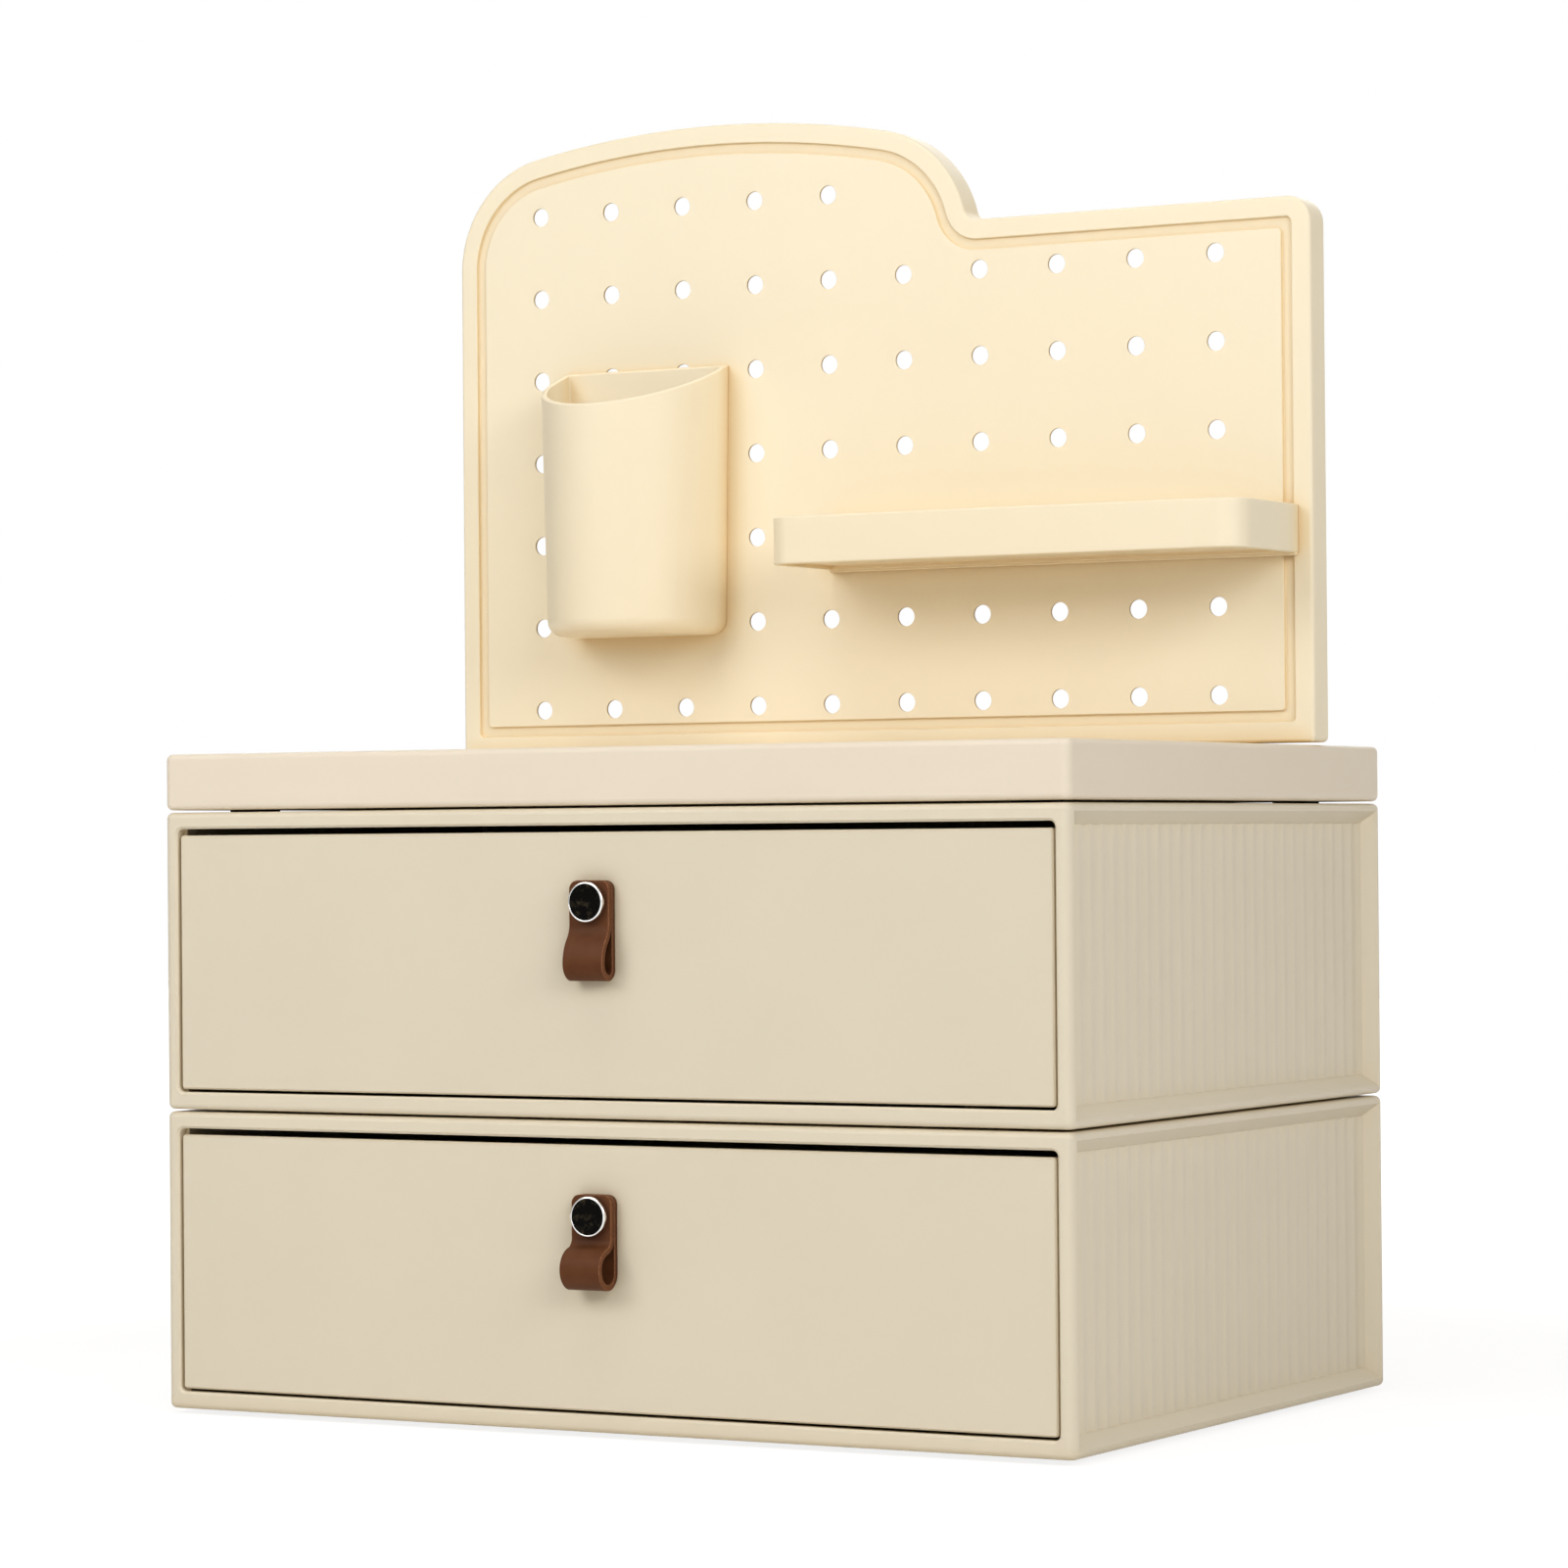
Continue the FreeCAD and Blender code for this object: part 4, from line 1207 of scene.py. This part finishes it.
@dataclass
class PenCup(Hanger):
    """D-shaped cup with a rim that slopes down to the front.

    Attributes:
        half: Half of its width at the rim.
        straight: Length of the straight sides.
        slope: Slope of the rim.
        draft: Taper of the wall.
        bottom: Radius of the lower edge.
        back_corner: Radius of the back corners.
        floor_corner: Radius of the back corners inside, at the floor.
        floor_edge: Radius between the wall and the floor.
        rim_drop: Depth of the rim's rounding.
    """

    row: int = 4
    columns: tuple[int, int] = (1, 2)
    height: float = 96.6 * MM
    above_row: float = 2.3 * MM
    wall: float = 2.0 * MM
    floor: float = 2.4 * MM
    half: float = 34.0 * MM
    straight: float = 8.0 * MM
    slope: float = math.radians(20.3)
    draft: float = math.radians(1.0)
    bottom: float = 5.5 * MM
    back_corner: float = 0.8 * MM
    floor_corner: float = 1.2 * MM
    floor_edge: float = 2.0 * MM
    rim_drop: float = 0.5 * MM

    def __post_init__(self) -> None:
        """Works out the cup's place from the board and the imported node."""
        super().__post_init__()
        self.back_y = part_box("pen_cup")[0].y + self.straight + self.half

    def plan(self, half: float, back: float, corner: float) -> Array:
        """Plan of the cup: a flat back with small corners, straight sides and a half round front.

        Args:
            half: Half of the width.
            back: Distance of the flat back from the board's side of the cup.
            corner: Radius of the two back corners.

        Returns:
            Rows of two coordinates, round the front and then along the back.
        """
        round_y = self.back_y - self.straight
        back_y = self.back_y - back
        front = arc_points((self.middle, round_y), half, 0, -math.pi, 49)
        left = arc_points((self.middle - half + corner, back_y - corner), corner, math.pi, QUARTER, 5)
        right = arc_points((self.middle + half - corner, back_y - corner), corner, QUARTER, 0, 5)
        flat = np.column_stack([np.linspace(left[-1, 0], right[0, 0], 9)[1:-1], np.full(7, back_y)])
        return np.concatenate([front, left, flat, right])

    def level(self, inset: float, back: float, low: float, share: float, over: float, corner: float) -> Array:
        """One row of the wall.

        Args:
            inset: Distance inside the outer wall.
            back: Distance inside the outer back.
            low: Height of the row where the share is 0.
            share: Share of the way from there to the sloping rim.
            over: Height added to the row.
            corner: Radius of the back corners.

        Returns:
            Rows of three coordinates.
        """
        rise = low + share * (self.height - low)
        half = self.half - inset - (self.height - rise) * math.tan(self.draft)
        flat = self.plan(half, back, corner)
        rim = self.rim_z - (self.back_y - flat[:, 1]) * math.tan(self.slope)
        return np.column_stack([flat, self.base + low + share * (rim - self.base - low) + over])

    def build(self) -> None:
        """Builds the cup from its middle underneath, over the rim and down to its inner floor.

        A wall row at the share t of the height stands at base + t times the rim's height at its
        own depth, so the rows lean into the sloping rim one after another.
        """
        corner, wall, fall = self.back_corner, self.wall, self.floor_edge
        rows = []
        for angle in np.linspace(0, QUARTER, 7):
            inset = self.bottom * (1 - math.sin(angle))
            rows.append(self.level(inset, 0, self.bottom * (1 - math.cos(angle)), 0, 0, corner))
        for share in np.linspace(0, 1, 9)[1:-1]:
            rows.append(self.level(0, 0, self.bottom, share, 0, corner))
        for angle in np.linspace(0, math.pi, 9):
            inset = wall / 2 - wall / 2 * math.cos(angle)
            sink = self.rim_drop * (1 - math.sin(angle))
            rows.append(self.level(inset, inset, self.bottom, 1, -sink, corner))
        for share in np.linspace(1, 0, 9)[1:-1]:
            rows.append(self.level(wall, wall, self.floor + fall, share, 0, corner))
        for angle in np.linspace(0, QUARTER, 5):
            inset = wall + fall * (1 - math.cos(angle))
            low = self.floor + fall * (1 - math.sin(angle))
            rows.append(self.level(inset, inset, low, 0, 0, self.floor_corner))
        skin = Skin("pen_holder_cup")
        skin.closed(np.array(rows))
        self.hang(skin, self.back_y)
        skin.finish("cup", Slot.BOARD, ["pen_cup"])


@dataclass
class ShelfTray(Hanger):
    """Shallow tray with round front corners and a recessed underside.

    Attributes:
        width: Outer width.
        depth: Reach in front of the board.
        corner: Radius of the front corners.
        back_corner: Radius of the back corners.
        soft: Radius of the outer edges.
        rim_edge: Radius of the rim's inner edge.
        floor_edge: Radius between the wall and the floor.
        border: Level strip inside the wall.
        recess: Height of the floor above the lower edge.
        recess_edge: Radius of the recess's edges.
        drop: Reach of the back strip below the lower edge.
        strip_inset: Distance of the back strip inside the tray.
        strip_edge: Radius of the back strip's edges.
    """

    row: int = 2
    columns: tuple[int, int] = (5, 9)
    height: float = 16.4 * MM
    above_row: float = 3.6 * MM
    wall: float = 2.2 * MM
    floor: float = 2.0 * MM
    width: float = 180.0 * MM
    depth: float = 47.0 * MM
    corner: float = 9.0 * MM
    back_corner: float = 0.6 * MM
    soft: float = 0.7 * MM
    rim_edge: float = 0.5 * MM
    floor_edge: float = 1.2 * MM
    border: float = 3.0 * MM
    recess: float = 1.5 * MM
    recess_edge: float = 0.3 * MM
    drop: float = 0.9 * MM
    strip_inset: float = 0.3 * MM
    strip_edge: float = 0.4 * MM

    def __post_init__(self) -> None:
        """Works out the tray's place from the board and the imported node."""
        super().__post_init__()
        self.back_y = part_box("shelf_tray")[0].y + self.depth

    def plan(self, inset: float) -> Array:
        """Plan of the tray at an inset: round front corners, small back corners, flat sides."""
        half = self.width / 2 - inset
        radius = self.corner - inset
        small = self.back_corner
        front = self.back_y - self.depth + inset + radius
        back = self.back_y - inset - small
        return np.concatenate([
            arc_points((self.middle + half - radius, front), radius, 0, -QUARTER, 13),
            arc_points((self.middle - half + radius, front), radius, -QUARTER, -math.pi, 13),
            arc_points((self.middle - half + small, back), small, math.pi, QUARTER, 4),
            arc_points((self.middle + half - small, back), small, QUARTER, 0, 4),
        ])

    def build(self) -> None:
        """Builds the tray: its wall's section carried round the plan, closed in the floor's middle."""
        inner = self.wall
        strip = inner + self.border
        floor_z = self.recess + self.floor
        section = soften([
            (strip, self.recess, 0), (inner, self.recess, self.recess_edge), (inner, 0, self.recess_edge),
            (0, 0, self.soft), (0, self.height, self.soft), (inner, self.height, self.rim_edge),
            (inner, floor_z, self.floor_edge), (strip, floor_z, 0),
        ])
        rows = []
        for inset, rise in section:
            flat = self.plan(inset)
            rows.append(np.column_stack([flat, np.full(len(flat), self.base + rise)]))
        skin = Skin("small_parts_tray")
        skin.closed(np.array(rows))
        inside = self.strip_inset
        half = self.width / 2 - inside
        low = Vector((self.middle - half, self.back_y - self.wall + inside, self.base - self.drop))
        high = Vector((self.middle + half, self.back_y - inside / 2, self.base + self.height / 2))
        skin.block(low, high, self.strip_edge)
        self.hang(skin, self.back_y)
        skin.finish("shelf", Slot.BOARD, ["shelf_tray"])


@dataclass(frozen=True)
class Lamp:
    """Soft square white lamp.

    Attributes:
        name: Name of the lamp.
        place: Where it stands.
        size: Its side.
        power: Its power in watts.
        aim: Point that it faces.
    """

    name: str
    place: tuple[float, float, float]
    size: float
    power: float
    aim: tuple[float, float, float] = (0.0, 0.0, 0.2)

    def hang(self) -> None:
        """Puts the lamp into the scene, turned towards its aim."""
        light = bpy.data.lights.new(self.name, "AREA")
        light.shape = "RECTANGLE"
        light.size = self.size
        light.size_y = self.size
        light.energy = self.power
        holder = stand(self.name, light)
        holder.location = self.place
        towards = Vector(self.aim) - Vector(self.place)
        holder.rotation_euler = towards.to_track_quat("-Z", "Y").to_euler()


@dataclass
class Studio:
    """Camera, lamps, floor and world.

    Attributes:
        sensor: Width of the camera's sensor in millimetres.
        frame_pixels: Side of the square picture.
        focal_pixels: Focal length in pixels of that picture.
        eye: Place of the camera.
        yaw: Turn of the camera to the left.
        pitch: Tilt of the camera upwards.
        roll: Turn of the camera about its own axis.
        ambient: Strength of the world's light.
        ambient_tone: Colour of the world's light.
        dark_side: The world's strength in reflections: two places from left to right, and the
            strength at each.
        floor_reach: Half of the floor's side.
        floor_colour: Linear colour of the floor.
        floor_glow: Strength of the white that the eye sees in the floor.
        floor_share: Share of that white: two distances from the object, and the share at each.
        lamps: The lamps.
    """

    sensor: float = 36.0
    frame_pixels: float = 1601.0
    focal_pixels: float = 5205.9
    eye: tuple[float, float, float] = (0.86095, -1.50234, 0.19133)
    yaw: float = math.radians(29.6696)
    pitch: float = math.radians(0.6172)
    roll: float = math.radians(-0.4703)
    ambient: float = 0.2
    ambient_tone: Tone = (255, 243, 217)
    dark_side: tuple[float, float, float, float] = (-0.95, -0.6, 0.1, 1.0)
    floor_reach: float = 4.0
    floor_colour: Colour = (0.85, 0.85, 0.85, 1.0)
    floor_glow: float = 1.2
    floor_share: tuple[float, float, float, float] = (0.35, 0.9, 0.7, 1.0)
    lamps: tuple[Lamp, ...] = (
        Lamp("key", (-0.25, -1.2, 0.95), size=0.6, power=3.0),
        Lamp("left", (-0.65, -1.1, 0.8), size=0.6, power=4.4),
        Lamp("fill", (1.2, -1.2, 0.9), size=0.7, power=6.0),
        Lamp("side", (1.53, -0.72, 0.84), size=0.7, power=7.4),
        Lamp("top", (0.0, -0.35, 1.9), size=1.0, power=8.0),
        Lamp("back", (-0.3, 1.7, 1.0), size=0.9, power=3.0),
    )

    def camera(self) -> None:
        """Sets up the camera from its turns and its focal length in pixels."""
        forward = Vector((-math.sin(self.yaw) * math.cos(self.pitch),
                          math.cos(self.yaw) * math.cos(self.pitch), math.sin(self.pitch)))
        right = Vector((math.cos(self.yaw), math.sin(self.yaw), 0))
        up = right.cross(forward)
        turned = right * math.cos(self.roll) + up * math.sin(self.roll)
        risen = up * math.cos(self.roll) - right * math.sin(self.roll)
        data = bpy.data.cameras.new("camera")
        data.sensor_width = self.sensor
        data.lens = self.focal_pixels * self.sensor / self.frame_pixels
        holder = stand("camera", data)
        columns = Matrix((turned, risen, -forward)).transposed()
        holder.matrix_world = Matrix.Translation(Vector(self.eye)) @ columns.to_4x4()
        bpy.context.scene.camera = holder

    def world(self) -> None:
        """Makes the world: white to the eye, softer as a light, and with a dark side in reflections."""
        world = bpy.data.worlds.new("studio")
        bpy.context.scene.world = world
        tree = Tree(world)
        across = tree.add("ShaderNodeSeparateXYZ", {0: tree.place("Generated")}).outputs["X"]
        light = tree.add("ShaderNodeBackground", {
            "Color": linear(self.ambient_tone), "Strength": self.ambient})
        gloss = tree.add("ShaderNodeBackground", {
            "Color": WHITE, "Strength": tree.remap(across, *self.dark_side)})
        shown = tree.add("ShaderNodeBackground", {"Color": WHITE})
        unseen = tree.blend(tree.rays("Is Glossy Ray"), light, gloss)
        whole = tree.blend(tree.rays("Is Camera Ray", "Is Transmission Ray"), unseen, shown)
        tree.add("ShaderNodeOutputWorld", {0: whole.outputs[0]})

    def floor(self) -> None:
        """Lays the floor: pale for the light, and to the eye white with the object's shadow near it."""
        material = bpy.data.materials.new("studio_floor")
        tree = Tree(material)
        matt = tree.add("ShaderNodeBsdfDiffuse", {"Color": self.floor_colour})
        glow = tree.add("ShaderNodeEmission", {"Strength": self.floor_glow})
        far = tree.add("ShaderNodeVectorMath", {0: tree.place("Object")}, operation="LENGTH")
        soft = tree.blend(tree.remap(far.outputs["Value"], *self.floor_share), matt, glow)
        seen = tree.rays("Is Camera Ray", "Is Glossy Ray", "Is Transmission Ray")
        tree.add("ShaderNodeOutputMaterial", {0: tree.blend(seen, matt, soft).outputs[0]})
        reach = self.floor_reach
        mesh = bpy.data.meshes.new("floor")
        corners = [(-reach, -reach, 0), (reach, -reach, 0), (reach, reach, 0), (-reach, reach, 0)]
        mesh.from_pydata(corners, [], [(0, 1, 2, 3)])
        mesh.materials.append(material)
        floor = stand("floor", mesh)
        floor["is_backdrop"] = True

    def build(self) -> None:
        """Sets up the whole studio."""
        self.camera()
        self.world()
        self.floor()
        for lamp in self.lamps:
            lamp.hang()
        bpy.context.scene.view_settings.view_transform = "Standard"
        LOG.info("studio is up")


def main() -> None:
    """Builds the organizer from the desk upwards."""
    logging.basicConfig(level=logging.INFO, format="%(message)s")
    Studio().build()
    DrawerUnit(Pull(Unit.LOWER, depth=11.6 * MM, below=23.5 * MM, belly_below=16.8 * MM)).build()
    DrawerUnit(Pull(Unit.UPPER, depth=8.4 * MM, below=25.3 * MM, belly_below=19.8 * MM)).build()
    TopCover().build()
    board = PegBoard()
    board.build()
    PenCup(board).build()
    ShelfTray(board).build()
    bpy.context.view_layer.update()
    boxes = {"cad": cad_box, "visual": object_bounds()}
    for name, box in boxes.items():
        LOG.info("%s box %s to %s", name, [round(v, 4) for v in box[0]], [round(v, 4) for v in box[1]])


if __name__ == "__main__":
    main()
